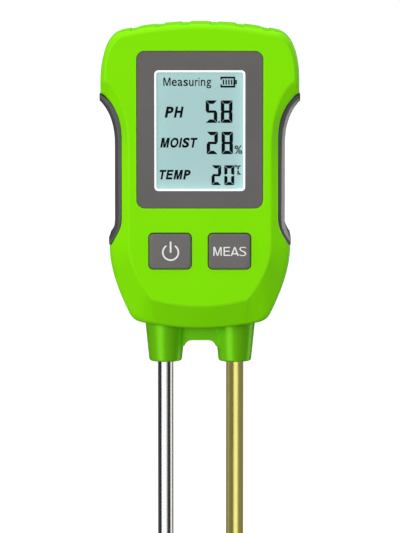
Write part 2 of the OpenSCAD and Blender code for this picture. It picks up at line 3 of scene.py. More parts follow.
import bmesh
import bpy
import numpy as np
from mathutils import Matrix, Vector


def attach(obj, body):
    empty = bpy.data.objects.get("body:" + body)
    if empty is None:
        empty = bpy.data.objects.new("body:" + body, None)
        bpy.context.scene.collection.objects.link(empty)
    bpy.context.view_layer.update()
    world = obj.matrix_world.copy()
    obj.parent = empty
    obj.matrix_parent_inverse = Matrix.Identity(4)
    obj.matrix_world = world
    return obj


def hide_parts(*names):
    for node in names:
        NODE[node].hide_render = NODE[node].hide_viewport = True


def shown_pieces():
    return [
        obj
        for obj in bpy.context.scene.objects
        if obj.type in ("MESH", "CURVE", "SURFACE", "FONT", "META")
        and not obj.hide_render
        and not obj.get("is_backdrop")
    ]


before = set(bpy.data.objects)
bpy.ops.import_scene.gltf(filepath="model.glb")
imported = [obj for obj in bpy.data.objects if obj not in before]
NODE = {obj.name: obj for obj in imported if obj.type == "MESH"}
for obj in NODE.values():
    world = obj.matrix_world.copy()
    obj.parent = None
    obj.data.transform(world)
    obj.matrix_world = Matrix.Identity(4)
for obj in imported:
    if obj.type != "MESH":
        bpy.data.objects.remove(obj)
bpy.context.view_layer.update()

SCENE = bpy.context.scene

# ------------------------------------------------------------------ sizes (mm)
LIFT = 200.0
HW, WW, LW = 31.2, 26.5, 28.45
YF, YB, PX = -16.0, 17.0, 10.95
SLOPE_F, SLOPE_B = 0.7, 0.55
BEZ_Z, DISP_Z, BTN_Z, BX = 74.1, 73.8, 36.3, 9.25
K = 4


def to_m(p):
    """Head-frame millimetres (z from the sleeve rims) to metres in the row frame."""
    a = np.array(p, float).reshape(-1, 3).copy()
    a[:, 2] += LIFT
    return a * 0.001


# ------------------------------------------------------------------ mesh helpers
def link(o):
    SCENE.collection.objects.link(o)
    return o


def make_mesh(name, verts, faces, recalc=True):
    me = bpy.data.meshes.new(name)
    me.from_pydata([tuple(v) for v in to_m(verts)], [], [tuple(int(i) for i in f) for f in faces])
    if recalc:
        bm = bmesh.new()
        bm.from_mesh(me)
        bmesh.ops.recalc_face_normals(bm, faces=bm.faces)
        bm.to_mesh(me)
        bm.free()
    me.validate()
    return link(bpy.data.objects.new(name, me))


def rings_to_mesh(name, rings, cap0=True, cap1=True, loop=False):
    """Quads between matched closed rings; ends closed by one polygon each, or joined into a loop."""
    n, m = len(rings[0]), len(rings)
    verts = np.vstack(rings)
    faces = []
    for k in range(m if loop else m - 1):
        a, b = k * n, ((k + 1) % m) * n
        for i in range(n):
            j = (i + 1) % n
            faces.append((a + i, a + j, b + j, b + i))
    if not loop:
        if cap0:
            faces.append(tuple(range(n - 1, -1, -1)))
        if cap1:
            faces.append(tuple((m - 1) * n + i for i in range(n)))
    return make_mesh(name, verts, faces)


def lathe(name, profile, centre=(0, 0), seg=72):
    """Solid of revolution about a vertical line; profile is (r, z) from axis to axis, or a closed loop off the axis."""
    cx, cy = centre
    closed = profile[0][0] > 1e-9
    verts, faces, rows = [], [], []
    for r, z in profile:
        if r <= 1e-9:
            rows.append([len(verts)])
            verts.append((cx, cy, z))
        else:
            rows.append(list(range(len(verts), len(verts) + seg)))
            for s in range(seg):
                a = 2 * math.pi * s / seg
                verts.append((cx + r * math.cos(a), cy + r * math.sin(a), z))
    pairs = list(zip(rows[:-1], rows[1:])) + ([(rows[-1], rows[0])] if closed else [])
    for a, b in pairs:
        for s in range(seg):
            t = (s + 1) % seg
            if len(a) == 1 and len(b) == 1:
                continue
            if len(a) == 1:
                faces.append((a[0], b[t], b[s]))
            elif len(b) == 1:
                faces.append((a[s], a[t], b[0]))
            else:
                faces.append((a[s], a[t], b[t], b[s]))
    return make_mesh(name, verts, faces)


def arc(cx, cy, r, a0, a1, n):
    return [(cx + r * math.cos(math.radians(a0 + (a1 - a0) * k / n)), cy + r * math.sin(math.radians(a0 + (a1 - a0) * k / n))) for k in range(n + 1)]


def rr(w, h, r, n=8, cx=0.0, cz=0.0):
    """Rounded rectangle as 2D points [x, z]."""
    out = []
    r = max(r, 1e-4)
    for q in range(4):
        sx = 1 if q in (0, 3) else -1
        sz = 1 if q < 2 else -1
        for k in range(n + 1):
            a = math.radians(90 * q + 90.0 * k / n)
            out.append((cx + sx * (w / 2 - r) + r * math.cos(a), cz + sz * (h / 2 - r) + r * math.sin(a)))
    return np.array(out)


def at_y(p2, y):
    p2 = np.array(p2, float)
    ys = np.full(len(p2), y, float) if np.isscalar(y) else np.array(y, float)
    return np.column_stack([p2[:, 0], ys, p2[:, 1]])


def slab(name, p2, y0, y1):
    return rings_to_mesh(name, [at_y(p2, y0), at_y(p2, y1)])


def block(name, a, b):
    return slab(name, [(a[0], a[2]), (b[0], a[2]), (b[0], b[2]), (a[0], b[2])], a[1], b[1])


def bar(name, p, y0, y1, r, seg=48):
    return slab(name, [(p[0] + r * math.cos(2 * math.pi * k / seg), p[1] + r * math.sin(2 * math.pi * k / seg)) for k in range(seg)], y0, y1)


def bake_modifiers(o):
    dg = bpy.context.evaluated_depsgraph_get()
    me = bpy.data.meshes.new_from_object(o.evaluated_get(dg))
    o.modifiers.clear()
    old = o.data
    o.data = me
    bpy.data.meshes.remove(old)
    return o


def boolean(o, tools, op="DIFFERENCE"):
    """One cut or union with several tools that don't touch each other."""
    t = tools[0] if len(tools) == 1 else join("tools", tools)
    m = o.modifiers.new("b", "BOOLEAN")
    m.operation = op
    m.solver = "EXACT"
    m.object = t
    bake_modifiers(o)
    bpy.data.objects.remove(t)
    return o


def tidy(o, merge=2e-6):
    """Merges points that a cut left on top of each other and drops faces with no area."""
    bm = bmesh.new()
    bm.from_mesh(o.data)
    bmesh.ops.remove_doubles(bm, verts=bm.verts, dist=merge)
    bmesh.ops.dissolve_degenerate(bm, edges=bm.edges, dist=merge)
    bm.to_mesh(o.data)
    bm.free()
    return o


def shade(o, angle=32, weighted=True):
    o.data.shade_smooth()
    o.data.set_sharp_from_angle(angle=math.radians(angle))
    if weighted:
        m = o.modifiers.new("normals", "WEIGHTED_NORMAL")
        m.keep_sharp = True
        m.weight = 50
        m.mode = "FACE_AREA"
    return o


def join(name, objs):
    """Several meshes into one object, keeping each one's material."""
    mats, verts, faces, idx, smooth = [], [], [], [], []
    base = 0
    for o in objs:
        me = o.data
        slots = [m for m in me.materials] or [None]
        for v in me.vertices:
            verts.append(tuple(v.co))
        for p in me.polygons:
            faces.append([base + i for i in p.vertices])
            m = slots[p.material_index] if p.material_index < len(slots) else None
            if m not in mats:
                mats.append(m)
            idx.append(mats.index(m))
        base += len(me.vertices)
    me = bpy.data.meshes.new(name)
    me.from_pydata(verts, [], faces)
    for m in mats:
        me.materials.append(m)
    me.polygons.foreach_set("material_index", idx)
    for o in objs:
        bpy.data.objects.remove(o)
    return link(bpy.data.objects.new(name, me))


def paint(o, m):
    o.data.materials.clear()
    o.data.materials.append(m)
    return o


def piece(o, body, mat=None, replaces=()):
    if mat is not None:
        paint(o, mat)
    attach(o, body)
    if replaces:
        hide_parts(*replaces)
    return o


# ------------------------------------------------------------------ materials
def srgb(r, g, b):
    return tuple((c / 255 / 12.92) if c / 255 <= 0.04045 else ((c / 255 + 0.055) / 1.055) ** 2.4 for c in (r, g, b))


def new_material(name):
    m = bpy.data.materials.new(name)
    m.use_nodes = True
    nt = m.node_tree
    for n in list(nt.nodes):
        nt.nodes.remove(n)
    return m, nt


def node(nt, kind, **inputs):
    n = nt.nodes.new(kind)
    for k, v in inputs.items():
        if hasattr(n, k) and k not in n.inputs:
            setattr(n, k, v)
        else:
            n.inputs[k].default_value = v
    return n


def math_node(nt, op, a, b=None, clamp=False):
    n = nt.nodes.new("ShaderNodeMath")
    n.operation = op
    n.use_clamp = clamp
    for i, v in enumerate((a, b)):
        if v is None:
            continue
        if isinstance(v, (int, float)):
            n.inputs[i].default_value = v
        else:
            nt.links.new(v, n.inputs[i])
    return n.outputs[0]


def noise(nt, coords, scale, detail=3.0, stretch=None):
    src = coords
    if stretch is not None:
        mp = nt.nodes.new("ShaderNodeMapping")
        mp.inputs["Scale"].default_value = stretch
        nt.links.new(coords, mp.inputs["Vector"])
        src = mp.outputs["Vector"]
    n = nt.nodes.new("ShaderNodeTexNoise")
    n.inputs["Scale"].default_value = scale
    n.inputs["Detail"].default_value = detail
    n.inputs["Roughness"].default_value = 0.55
    nt.links.new(src, n.inputs["Vector"])
    return n.outputs["Fac"]


def ranged(nt, value, lo, hi, a=0.3, b=0.7):
    n = nt.nodes.new("ShaderNodeMapRange")
    n.inputs["From Min"].default_value = a
    n.inputs["From Max"].default_value = b
    n.inputs["To Min"].default_value = lo
    n.inputs["To Max"].default_value = hi
    nt.links.new(value, n.inputs["Value"])
    return n.outputs["Result"]


def colour_mix(nt, fac, a, b):
    n = nt.nodes.new("ShaderNodeMix")
    n.data_type = "RGBA"
    n.clamp_factor = True
    if isinstance(fac, (int, float)):
        n.inputs[0].default_value = fac
    else:
        nt.links.new(fac, n.inputs[0])
    for i, v in ((6, a), (7, b)):
        if isinstance(v, tuple):
            n.inputs[i].default_value = (*v, 1)
        else:
            nt.links.new(v, n.inputs[i])
    return n.outputs[2]


def plastic(name, col, rough=0.45, var=0.05, var_scale=60, grain=900, bump=0.03, spec=0.3, wear_and_highlight=0.25, wear_and_highlight_radius=0.0004, metallic=0.0,
            wear_and_highlight_col=None, stretch=None, rough_var=0.06, coat=0.0, sheen=0.0, second=None, lit=0.0, wear_and_highlight_gain=6.0):
    """Principled surface whose colour, roughness and relief all come from noise, lighter and smoother at edges: rubbed
    wear, and where the gain is high a painted highlight along creases.
    """
    m, nt = new_material(name)
    tc = nt.nodes.new("ShaderNodeTexCoord").outputs["Object"]
    out = nt.nodes.new("ShaderNodeOutputMaterial")
    p = nt.nodes.new("ShaderNodeBsdfPrincipled")
    nt.links.new(p.outputs[0], out.inputs[0])
    big = noise(nt, tc, var_scale, 3, stretch)
    fine = noise(nt, tc, grain, 4, stretch)
    dark = tuple(max(0.0, c * (1 - var)) for c in col)
    lite = tuple(min(1.0, c * (1 + var)) for c in (second or col))
    c = colour_mix(nt, ranged(nt, big, 0, 1), dark, lite)
    r = ranged(nt, fine, rough - rough_var, rough + rough_var)
    if wear_and_highlight > 0:
        # Convex edges found by the bevel normal are lightened: rubbed wear, and with a high gain a painted highlight.
        bv = nt.nodes.new("ShaderNodeBevel")
        bv.samples = 4
        bv.inputs["Radius"].default_value = wear_and_highlight_radius
        geo = nt.nodes.new("ShaderNodeNewGeometry")
        dot = nt.nodes.new("ShaderNodeVectorMath")
        dot.operation = "DOT_PRODUCT"
        nt.links.new(bv.outputs[0], dot.inputs[0])
        nt.links.new(geo.outputs["Normal"], dot.inputs[1])
        e = math_node(nt, "SUBTRACT", 1.0, dot.outputs["Value"])
        e = math_node(nt, "MULTIPLY", e, wear_and_highlight_gain, clamp=True)
        e = math_node(nt, "MULTIPLY", e, ranged(nt, fine, 0.5, 1.0))
        e = math_node(nt, "MULTIPLY", e, wear_and_highlight, clamp=True)
        c = colour_mix(nt, e, c, wear_and_highlight_col or tuple(min(1.0, x * 1.25 + 0.01) for x in col))
        r = math_node(nt, "SUBTRACT", r, math_node(nt, "MULTIPLY", e, 0.15))
    nt.links.new(c, p.inputs["Base Color"])
    nt.links.new(r, p.inputs["Roughness"])
    p.inputs["Metallic"].default_value = metallic
    p.inputs["Specular IOR Level"].default_value = spec
    p.inputs["Coat Weight"].default_value = coat
    p.inputs["Sheen Weight"].default_value = sheen
    # lit makes the surface glow in its own colour: painted light.
    if lit > 0:
        nt.links.new(c, p.inputs["Emission Color"])
        p.inputs["Emission Strength"].default_value = lit
    if bump > 0:
        b = nt.nodes.new("ShaderNodeBump")
        b.inputs["Strength"].default_value = bump
        b.inputs["Distance"].default_value = 0.0002
        nt.links.new(fine, b.inputs["Height"])
        nt.links.new(b.outputs[0], p.inputs["Normal"])
    return m


def clear_pane(name):
    m, nt = new_material(name)
    out = nt.nodes.new("ShaderNodeOutputMaterial")
    tc = nt.nodes.new("ShaderNodeTexCoord").outputs["Object"]
    t = nt.nodes.new("ShaderNodeBsdfTransparent")
    nt.links.new(colour_mix(nt, ranged(nt, noise(nt, tc, 40, 2), 0, 1), (0.985, 0.99, 0.99), (1.0, 1.0, 1.0)), t.inputs[0])
    g = nt.nodes.new("ShaderNodeBsdfGlossy")
    g.inputs["Color"].default_value = (1, 1, 1, 1)
    nt.links.new(ranged(nt, noise(nt, tc, 500, 3), 0.05, 0.12), g.inputs["Roughness"])
    b = nt.nodes.new("ShaderNodeBump")
    b.inputs["Strength"].default_value = 0.02
    b.inputs["Distance"].default_value = 0.0001
    nt.links.new(noise(nt, tc, 200, 2), b.inputs["Height"])
    nt.links.new(b.outputs[0], g.inputs["Normal"])
    fr = nt.nodes.new("ShaderNodeFresnel")
    fr.inputs["IOR"].default_value = 1.35
    geo = nt.nodes.new("ShaderNodeNewGeometry")
    mx = nt.nodes.new("ShaderNodeMixShader")
    nt.links.new(math_node(nt, "MULTIPLY", fr.outputs[0], math_node(nt, "SUBTRACT", 1.0, geo.outputs["Backfacing"])), mx.inputs[0])
    nt.links.new(t.outputs[0], mx.inputs[1])
    nt.links.new(g.outputs[0], mx.inputs[2])
    nt.links.new(mx.outputs[0], out.inputs[0])
    return m


GREEN = (0.240, 0.855, 0.0008)
M = {}
# The green case's strong edge lightening is partly edge wear and mostly a painted highlight along the crease round the
# flat face.
M["case_green"] = plastic("case_green", GREEN, rough=0.4, var=0.015, var_scale=45, grain=2600, bump=0.025, spec=0.1, wear_and_highlight=0.55, wear_and_highlight_col=(0.36, 0.98, 0.03), wear_and_highlight_radius=0.0007, wear_and_highlight_gain=45.0)
# The probe holder gets a darker, part-metallic copy of the case green: the darker colour is painted shade on the
# sleeves, and the metallic part tints their lamp highlights green.
M["sleeve_green_shaded"] = plastic("sleeve_green_shaded", (0.215, 0.80, 0.006), rough=0.36, var=0.015, var_scale=45, grain=2600, bump=0.02, spec=0.3, wear_and_highlight=0.3, metallic=0.4, wear_and_highlight_col=(0.30, 0.92, 0.03), rough_var=0.04)
M["case_inside"] = plastic("case_inside", (0.19, 0.66, 0.006), rough=0.55, var=0.05, var_scale=60, grain=1600, bump=0.05, spec=0.2, wear_and_highlight=0.15)
M["grip_rubber"] = plastic("grip_rubber", srgb(76, 76, 77), rough=0.5, var=0.08, var_scale=120, grain=5200, bump=0.22, spec=0.35, wear_and_highlight=0.35, wear_and_highlight_radius=0.0006, wear_and_highlight_col=srgb(120, 120, 122), sheen=0.0)
M["bezel_grey"] = plastic("bezel_grey", srgb(107, 105, 103), rough=0.5, var=0.035, var_scale=90, grain=4200, bump=0.06, spec=0.25, wear_and_highlight=0.35, wear_and_highlight_col=srgb(140, 139, 137))
M["button_grey"] = plastic("button_grey", srgb(115, 113, 111), rough=0.55, var=0.03, var_scale=120, grain=4200, bump=0.06, spec=0.25, wear_and_highlight=0.4, wear_and_highlight_col=srgb(150, 149, 148))
M["window_clear"] = clear_pane("window_clear")
# The white frame glows in its own colour: painted light that lifts the shade of its recess so it reads pure white.
M["frame_white"] = plastic("frame_white", (0.93, 0.97, 0.965), rough=0.4, var=0.02, var_scale=150, grain=1500, bump=0.01, spec=0.3, wear_and_highlight=0.0, lit=0.45)
# The LCD cell glows in its own colour: painted light that lifts the shade the collar casts into the recess and
# brightens the cell; its colour is darkened to match.
M["lcd_glass"] = plastic("lcd_glass", (0.30, 0.455, 0.45), rough=0.5, var=0.012, var_scale=55, grain=7000, bump=0.008, spec=0.1, wear_and_highlight=0.0, lit=0.5)
M["lcd_ink"] = plastic("lcd_ink", srgb(10, 17, 21), rough=0.6, var=0.12, var_scale=300, grain=6000, bump=0.0, spec=0.1, wear_and_highlight=0.0)
M["legend_white"] = plastic("legend_white", srgb(246, 246, 244), rough=0.5, var=0.03, var_scale=500, grain=6000, bump=0.02, spec=0.2, wear_and_highlight=0.0)
M["probe_steel"] = plastic("probe_steel", (0.86, 0.865, 0.87), rough=0.15, var=0.02, var_scale=300, grain=900, bump=0.0015, spec=0.5, wear_and_highlight=0.1, metallic=1.0, stretch=(9, 9, 0.2), rough_var=0.02)
M["probe_brass"] = plastic("probe_brass", (0.86, 0.78, 0.235), rough=0.32, var=0.03, var_scale=260, grain=900, bump=0.003, spec=0.5, wear_and_highlight=0.1, metallic=1.0, stretch=(9, 9, 0.2), rough_var=0.03)
M["sensor_epoxy"] = plastic("sensor_epoxy", (0.03, 0.035, 0.15), rough=0.35, wear_and_highlight=0.0)
M["seal_rubber"] = plastic("seal_rubber", (0.012, 0.012, 0.013), rough=0.6, wear_and_highlight=0.0)
M["terminal_brass"] = plastic("terminal_brass", (0.75, 0.62, 0.3), rough=0.35, metallic=1.0, wear_and_highlight=0.0)
M["nut_steel"] = plastic("nut_steel", (0.6, 0.6, 0.61), rough=0.3, metallic=1.0, wear_and_highlight=0.2)
M["wire_blue"] = plastic("wire_blue", (0.02, 0.07, 0.45), rough=0.4, wear_and_highlight=0.0)
M["header_white"] = plastic("header_white", (0.75, 0.73, 0.66), rough=0.45, wear_and_highlight=0.0)
M["light_white"] = plastic("light_white", (0.85, 0.88, 0.84), rough=0.4, wear_and_highlight=0.0)
M["strip_rubber"] = plastic("strip_rubber", (0.6, 0.28, 0.32), rough=0.6, wear_and_highlight=0.0)
M["board_green"] = plastic("board_green", (0.01, 0.12, 0.05), rough=0.35, var=0.2, var_scale=900, wear_and_highlight=0.0)
M["chip_black"] = plastic("chip_black", (0.012, 0.012, 0.013), rough=0.5, wear_and_highlight=0.0)
M["component_mix"] = plastic("component_mix", (0.25, 0.17, 0.08), rough=0.45, var=0.4, var_scale=180, second=(0.5, 0.45, 0.36), wear_and_highlight=0.0)
M["switch_black"] = plastic("switch_black", (0.02, 0.02, 0.022), rough=0.45, wear_and_highlight=0.0)
M["plunger_white"] = plastic("plunger_white", (0.7, 0.7, 0.67), rough=0.4, wear_and_highlight=0.0)
M["battery_wrap"] = plastic("battery_wrap", (0.016, 0.017, 0.019), rough=0.3, var=0.25, var_scale=120, grain=1500, bump=0.03, spec=0.5, wear_and_highlight=0.5, wear_and_highlight_col=(0.12, 0.12, 0.12))
M["battery_band"] = plastic("battery_band", (0.55, 0.27, 0.07), rough=0.3, var=0.1, var_scale=150, grain=1500, bump=0.03, spec=0.5, wear_and_highlight=0.3, metallic=0.7)
M["terminal_steel"] = plastic("terminal_steel", (0.62, 0.62, 0.62), rough=0.28, var=0.08, metallic=1.0, wear_and_highlight=0.25)
M["snap_black"] = plastic("snap_black", (0.018, 0.018, 0.019), rough=0.55, var=0.15, grain=2500, bump=0.12, wear_and_highlight=0.3, wear_and_highlight_col=(0.07, 0.07, 0.07))
M["wire_red"] = plastic("wire_red", (0.5, 0.015, 0.012), rough=0.38, var=0.1, var_scale=400, grain=3000, bump=0.05, wear_and_highlight=0.0)
M["wire_black"] = plastic("wire_black", (0.014, 0.014, 0.015), rough=0.38, var=0.15, var_scale=400, grain=3000, bump=0.05, wear_and_highlight=0.0)
M["foam_grey"] = plastic("foam_grey", (0.06, 0.06, 0.062), rough=0.95, var=0.35, var_scale=900, grain=1800, bump=0.9, spec=0.1, wear_and_highlight=0.2, wear_and_highlight_radius=0.0008)
M["screw_steel"] = plastic("screw_steel", (0.55, 0.55, 0.56), rough=0.3, var=0.1, var_scale=800, grain=2500, bump=0.05, metallic=1.0, wear_and_highlight=0.35, wear_and_highlight_radius=0.0002, wear_and_highlight_col=(0.75, 0.75, 0.76))


# ------------------------------------------------------------------ outlines
def bez(a, b, c, d, n):
    a, b, c, d = (np.array(v, float) for v in (a, b, c, d))
    t = (np.arange(n * K) / (n * K))[:, None]
    u = 1 - t
    return u ** 3 * a + 3 * u * u * t * b + 3 * u * t * t * c + t ** 3 * d


def run(a, b, n):
    a, b = np.array(a, float), np.array(b, float)
    t = (np.arange(n * K) / (n * K))[:, None]
    return a + (b - a) * t


def arch(x0, x1, mid, rise, xs, n):
    t = np.arange(n * K) / (n * K)
    x = x0 + (x1 - x0) * t
    return np.column_stack([x, mid + rise * x * x / xs / xs])


GROOVES = (4.5, 12.6, 20.5)
CROWN_X = sorted({round(c + d, 3) for c in GROOVES for d in (-1.6, -1.47, -1.33, -1.18, -1.0, 0.0, 1.0, 1.18, 1.33, 1.47, 1.6)} | {0.0, 1.5, 7.3, 8.5, 9.8, 15.3, 16.6, 17.8, 23.0, 23.8})
CROWN_T = np.array(CROWN_X) / 24.6


def crown(xs, mid, rise):
    x = CROWN_T * xs
    return np.column_stack([x, mid + rise * x * x / xs / xs])


def whole(h):
    return np.vstack([h, (h[1:-1] * np.array([-1, 1]))[::-1]])


def inset(p, d):
    t = np.roll(p, -1, 0) - np.roll(p, 1, 0)
    d = np.full(len(p), d, float) if np.isscalar(d) else d
    return p + d[:, None] * np.column_stack([t[:, 1], -t[:, 0]]) / np.linalg.norm(t, axis=1)[:, None]


s_top = [crown(24.6, 107.2, -2.65), bez([24.6, 104.55], [HW - 3.3, 103.84], [HW - 0.05, 99.3], [HW, 88.5], 10)]
s_bottom = [bez([LW, 37], [LW, 31], [LW - 1.95, 24.6], [LW - 5.45, 17.2], 9),
            bez([LW - 5.45, 17.2], [LW - 6.45, 15.1], [LW - 7.15, 13.55], [18.1, 12.85], 5),
            arch(18.1, 14.4, 11, 1.85, 18.1, 2), arch(14.4, 0, 11, 1.85, 18.1, 6), [[0, 11]]]
s_full = np.vstack(s_top + [run([HW, 88.5], [HW, 83], 2), bez([HW, 83], [HW - 2.6, 80.4], [WW, 76.2], [WW, 69.5], 9),
                            run([WW, 69.5], [WW, 46.5], 3), bez([WW, 46.5], [WW, 43.6], [WW + 0.8, 41.6], [LW, 40.1], 6),
                            run([LW, 40.1], [LW, 37], 1)] + s_bottom)
grip_in = [bez([HW, 85.2], [HW - 4.6, 82.6], [WW - 2.1, 78.6], [WW - 2.1, 71], 9),
           run([WW - 2.1, 71], [WW - 2.1, 47], 3),
           bez([WW - 2.1, 47], [WW - 2.1, 43.3], [WW - 0.9, 41], [LW - 0.15, 37.6], 6)]
s_case = np.vstack(s_top + [run([HW, 88.5], [HW, 85.2], 2)] + grip_in + [run([LW - 0.15, 37.6], [LW, 37], 1)] + s_bottom)
e_half = np.vstack([crown(23.6, 105.95, -2.5), bez([23.6, 103.45], [HW - 4.4, 102.8], [HW - 1.4, 98.8], [HW - 1.35, 88.5], 10),
                    bez([HW - 1.35, 88.5], [HW - 1.35, 83.2], [WW - 2.3, 81.8], [WW - 2.25, 70.5], 11),
                    run([WW - 2.25, 70.5], [WW - 2.25, 46.5], 3),
                    bez([WW - 2.25, 46.5], [WW - 2.25, 41.5], [LW - 1.6, 41.5], [LW - 1.5, 36], 7),
                    bez([LW - 1.5, 36], [LW - 1.5, 30.5], [LW - 4.05, 24.5], [LW - 6.75, 18], 9),
                    bez([LW - 6.75, 18], [LW - 7.45, 16.4], [LW - 7.95, 15.3], [18, 14.2], 5),
                    arch(18, 13.9, 12.15, 2.05, 18, 2), arch(13.9, 0, 12.15, 2.05, 18, 6), [[0, 12.15]]])
low = [run([WW - 4.4, 46.5], [WW - 4.4, 38], 7), bez([WW - 4.4, 38], [WW - 4.4, 33], [WW - 6.9, 27.2], [14.9, 21.1], 16),
       arch(14.9, 0, 19.05, 2.05, 14.9, 6), [[0, 19.05]]]
p_half = np.vstack([crown(23.3, 105.5, -2.45), bez([23.3, 103.05], [HW - 4.75, 102.4], [HW - 1.85, 98.5], [HW - 1.8, 89.3], 10),
                    bez([HW - 1.8, 89.3], [HW - 6.2, 86.4], [WW - 4.4, 79], [WW - 4.4, 68], 11),
                    run([WW - 4.4, 68], [WW - 4.4, 46.5], 3)] + low)
b_half = np.vstack([crown(21, 103, -2.3), bez([21, 100.7], [HW - 6.8, 100], [HW - 4.1, 96], [HW - 4.1, 89], 10),
                    bez([HW - 4.1, 89], [HW - 4.1, 84], [WW - 4.4, 82], [WW - 4.4, 70], 11),
                    run([WW - 4.4, 70], [WW - 4.4, 46.5], 3)] + low)
assert len(s_case) == len(e_half) == len(p_half) == len(b_half) == len(s_full)
S, E, P, B = whole(s_case), whole(e_half), whole(p_half), whole(b_half)


def inset_clean(p, d):
    """inset() whose folded stretches, at tight corners, are drawn out evenly again."""
    q = inset(p, d)
    base = np.roll(p, -1, 0) - p
    for _ in range(60):
        bad = np.einsum("ij,ij->i", np.roll(q, -1, 0) - q, base) < 0.15 * np.einsum("ij,ij->i", base, base)
        if not bad.any():
            break
        near = bad | np.roll(bad, 1) | np.roll(bad, -1) | np.roll(bad, 2)
        q[near] = 0.5 * q[near] + 0.25 * (np.roll(q, 1, 0) + np.roll(q, -1, 0))[near]
    return q


def thin(p, step=1.1):
    """Keeps points of a ring at least step apart."""
    keep = [0]
    for i in range(1, len(p)):
        if np.linalg.norm(p[i] - p[keep[-1]]) >= step and np.linalg.norm(p[i] - p[0]) >= step * 0.6:
            keep.append(i)
    return p[keep]


def groove_cut(ring2):
    """Lowers the crown of a ring to the floor of the finger grooves."""
    out = ring2.copy()
    top = 107.2 - 2.65 * ring2[:, 0] ** 2 / 24.6 ** 2
    for c in (-20.5, -12.6, -4.5, 4.5, 12.6, 20.5):
        d = np.abs(ring2[:, 0] - c)
        g = np.clip((1.6 - d) / 0.5, 0, 1)
        g = g * g * (3 - 2 * g)
        floor = top - 0.62 * g
        hit = (ring2[:, 1] > 100) & (np.abs(ring2[:, 0]) < 24) & (g > 0)
        out[hit, 1] = np.minimum(out[hit, 1], floor[hit])
    return out


CAV = inset_clean(thin(E), 1.5)


def shell_rings(inner, y_face, slope, side):
    """Rings of one half of the body from the parting plane to its flat face. side is -1 for the front half."""
    gap = np.linalg.norm(E - inner, axis=1)
    ye = y_face - side * slope * np.minimum(gap, 7.2)
    se = np.linalg.norm(S - E, axis=1)
    h = np.minimum(2.1, 1.5 * se + 0.3)
    f0 = np.minimum(0.3, 0.25 * se) / np.maximum(se, 1e-6)
    rows = [at_y(groove_cut(inset(S, 0.14)), 0.0), at_y(groove_cut(inset(S, 0.03)), side * 0.05), at_y(groove_cut(S), side * 0.16)]
    rows.append(at_y(groove_cut(S + (E - S) * (f0 * 0.5)[:, None]), ye * 0.5 - side * h * 0.5))
    a = 0.4
    for t in (0.0, 0.15, 0.32, 0.5, 0.68, 0.85, 1.0):
        u = 1 - t
        f = u ** 3 * f0 + 3 * u * u * t * f0 + 3 * u * t * t * (1 - a) + t ** 3
        d = u ** 3 * h + 3 * u * u * t * 0.45 * h + 3 * u * t * t * np.minimum(a * se * 1.05, 0.3 * h)
        rows.append(at_y(groove_cut(S + (E - S) * f[:, None]), ye - side * d))
    unit = (E - inner) / np.maximum(gap, 1e-6)[:, None]
    rad = np.minimum(0.55, 0.42 * gap)
    on_bevel = inner + unit * rad[:, None]
    y_b = y_face - side * slope * rad * np.minimum(1.0, 7.2 / np.maximum(gap, 1e-6))
    flat = inset_clean(inner, rad)
    rows.append(at_y(E + (inner - E) * 0.12, ye + (y_face - ye) * 0.12))
    rows.append(at_y(on_bevel, y_b))
    for t in (0.25, 0.5, 0.75):
        u = 1 - t
        xy = u * u * on_bevel + 2 * u * t * inner + t * t * flat
        rows.append(at_y(xy, u * u * y_b + 2 * u * t * y_face + t * t * y_face))
    rows.append(at_y(flat, y_face))
    return rows


def flared(name, w, h, r, y_in, y_face, lip, cz, cx=0.0):
    """Cutter for an opening in the front face whose lip is rounded."""
    rings = [at_y(rr(w, h, r, 8, cx, cz), y_in)]
    for k in range(6):
        a = math.radians(90 * k / 5)
        g = lip * (1 - math.cos(a))
        rings.append(at_y(rr(w + 2 * g, h + 2 * g, r + g, 8, cx, cz), y_face + math.copysign(1, y_in - y_face) * lip * (1 - math.sin(a))))
    g = lip * 1.02
    rings.append(at_y(rr(w + 2 * g, h + 2 * g, r + g, 8, cx, cz), y_face - math.copysign(1, y_in - y_face) * 1.0))
    return rings_to_mesh(name, rings)


def cones():
    return [lathe("t", [(0, -0.1), (5.3, -0.1), (6.98, 15.9), (0, 15.9)], (s * PX, 0), 64) for s in (-1, 1)]


def web_slot():
    return block("t", (-PX, -2.7, 6), (PX, 2.7, 15.9))


CASE_SCREWS = [(s * x, z) for s in (-1, 1) for x, z in ((22.5, 97), (15, 26.4))]
BOARD_SCREWS = [(s * x, z) for s in (-1, 1) for x, z in ((12, 98.2), (15.8, 46.3))]

# ------------------------------------------------------------------ front case
front = rings_to_mesh("front_case_shell", shell_rings(P, YF, SLOPE_F, -1))
boolean(front, [slab("t", CAV, YF + 5.6, 2)])
boolean(front, [slab("t", inset_clean(thin(P), 0.8), YF + 2, YF + 5.7)])
boolean(front, [slab("t", rr(42, 51.7, 3.5, 8, 0, BEZ_Z), YF + 1.9, YF + 3)], "UNION")
boolean(front, [bar("t", p, YF + 1.9, -9.52, 2.3) for p in BOARD_SCREWS] + [bar("t", p, YF + 1.9, -0.5, 3) for p in CASE_SCREWS]
        + [block("t", (-5.5, YF + 4.3, 18), (5.5, -5.5, 19.4))], "UNION")
boolean(front, [flared("t", 39.34, 48.94, 2.6, YF + 1.5, YF, 0.22, BEZ_Z)]
        + [flared("t", 13.44, 11.44, 1.5, YF + 3, YF, 0.3, BTN_Z, x) for x in (-BX, BX)] + cones()
        + [bar("t", p, -13.7, 0.5, 0.92, 24) for p in BOARD_SCREWS] + [bar("t", p, -10.5, 0.5, 1.22, 24) for p in CASE_SCREWS])
boolean(front, [slab("t", rr(33, 42.4, 0.8, 8, 0, DISP_Z), YF + 0.5, YF + 4), web_slot()])
tidy(front)
piece(shade(front), "meter", M["case_green"], ["front_case"])

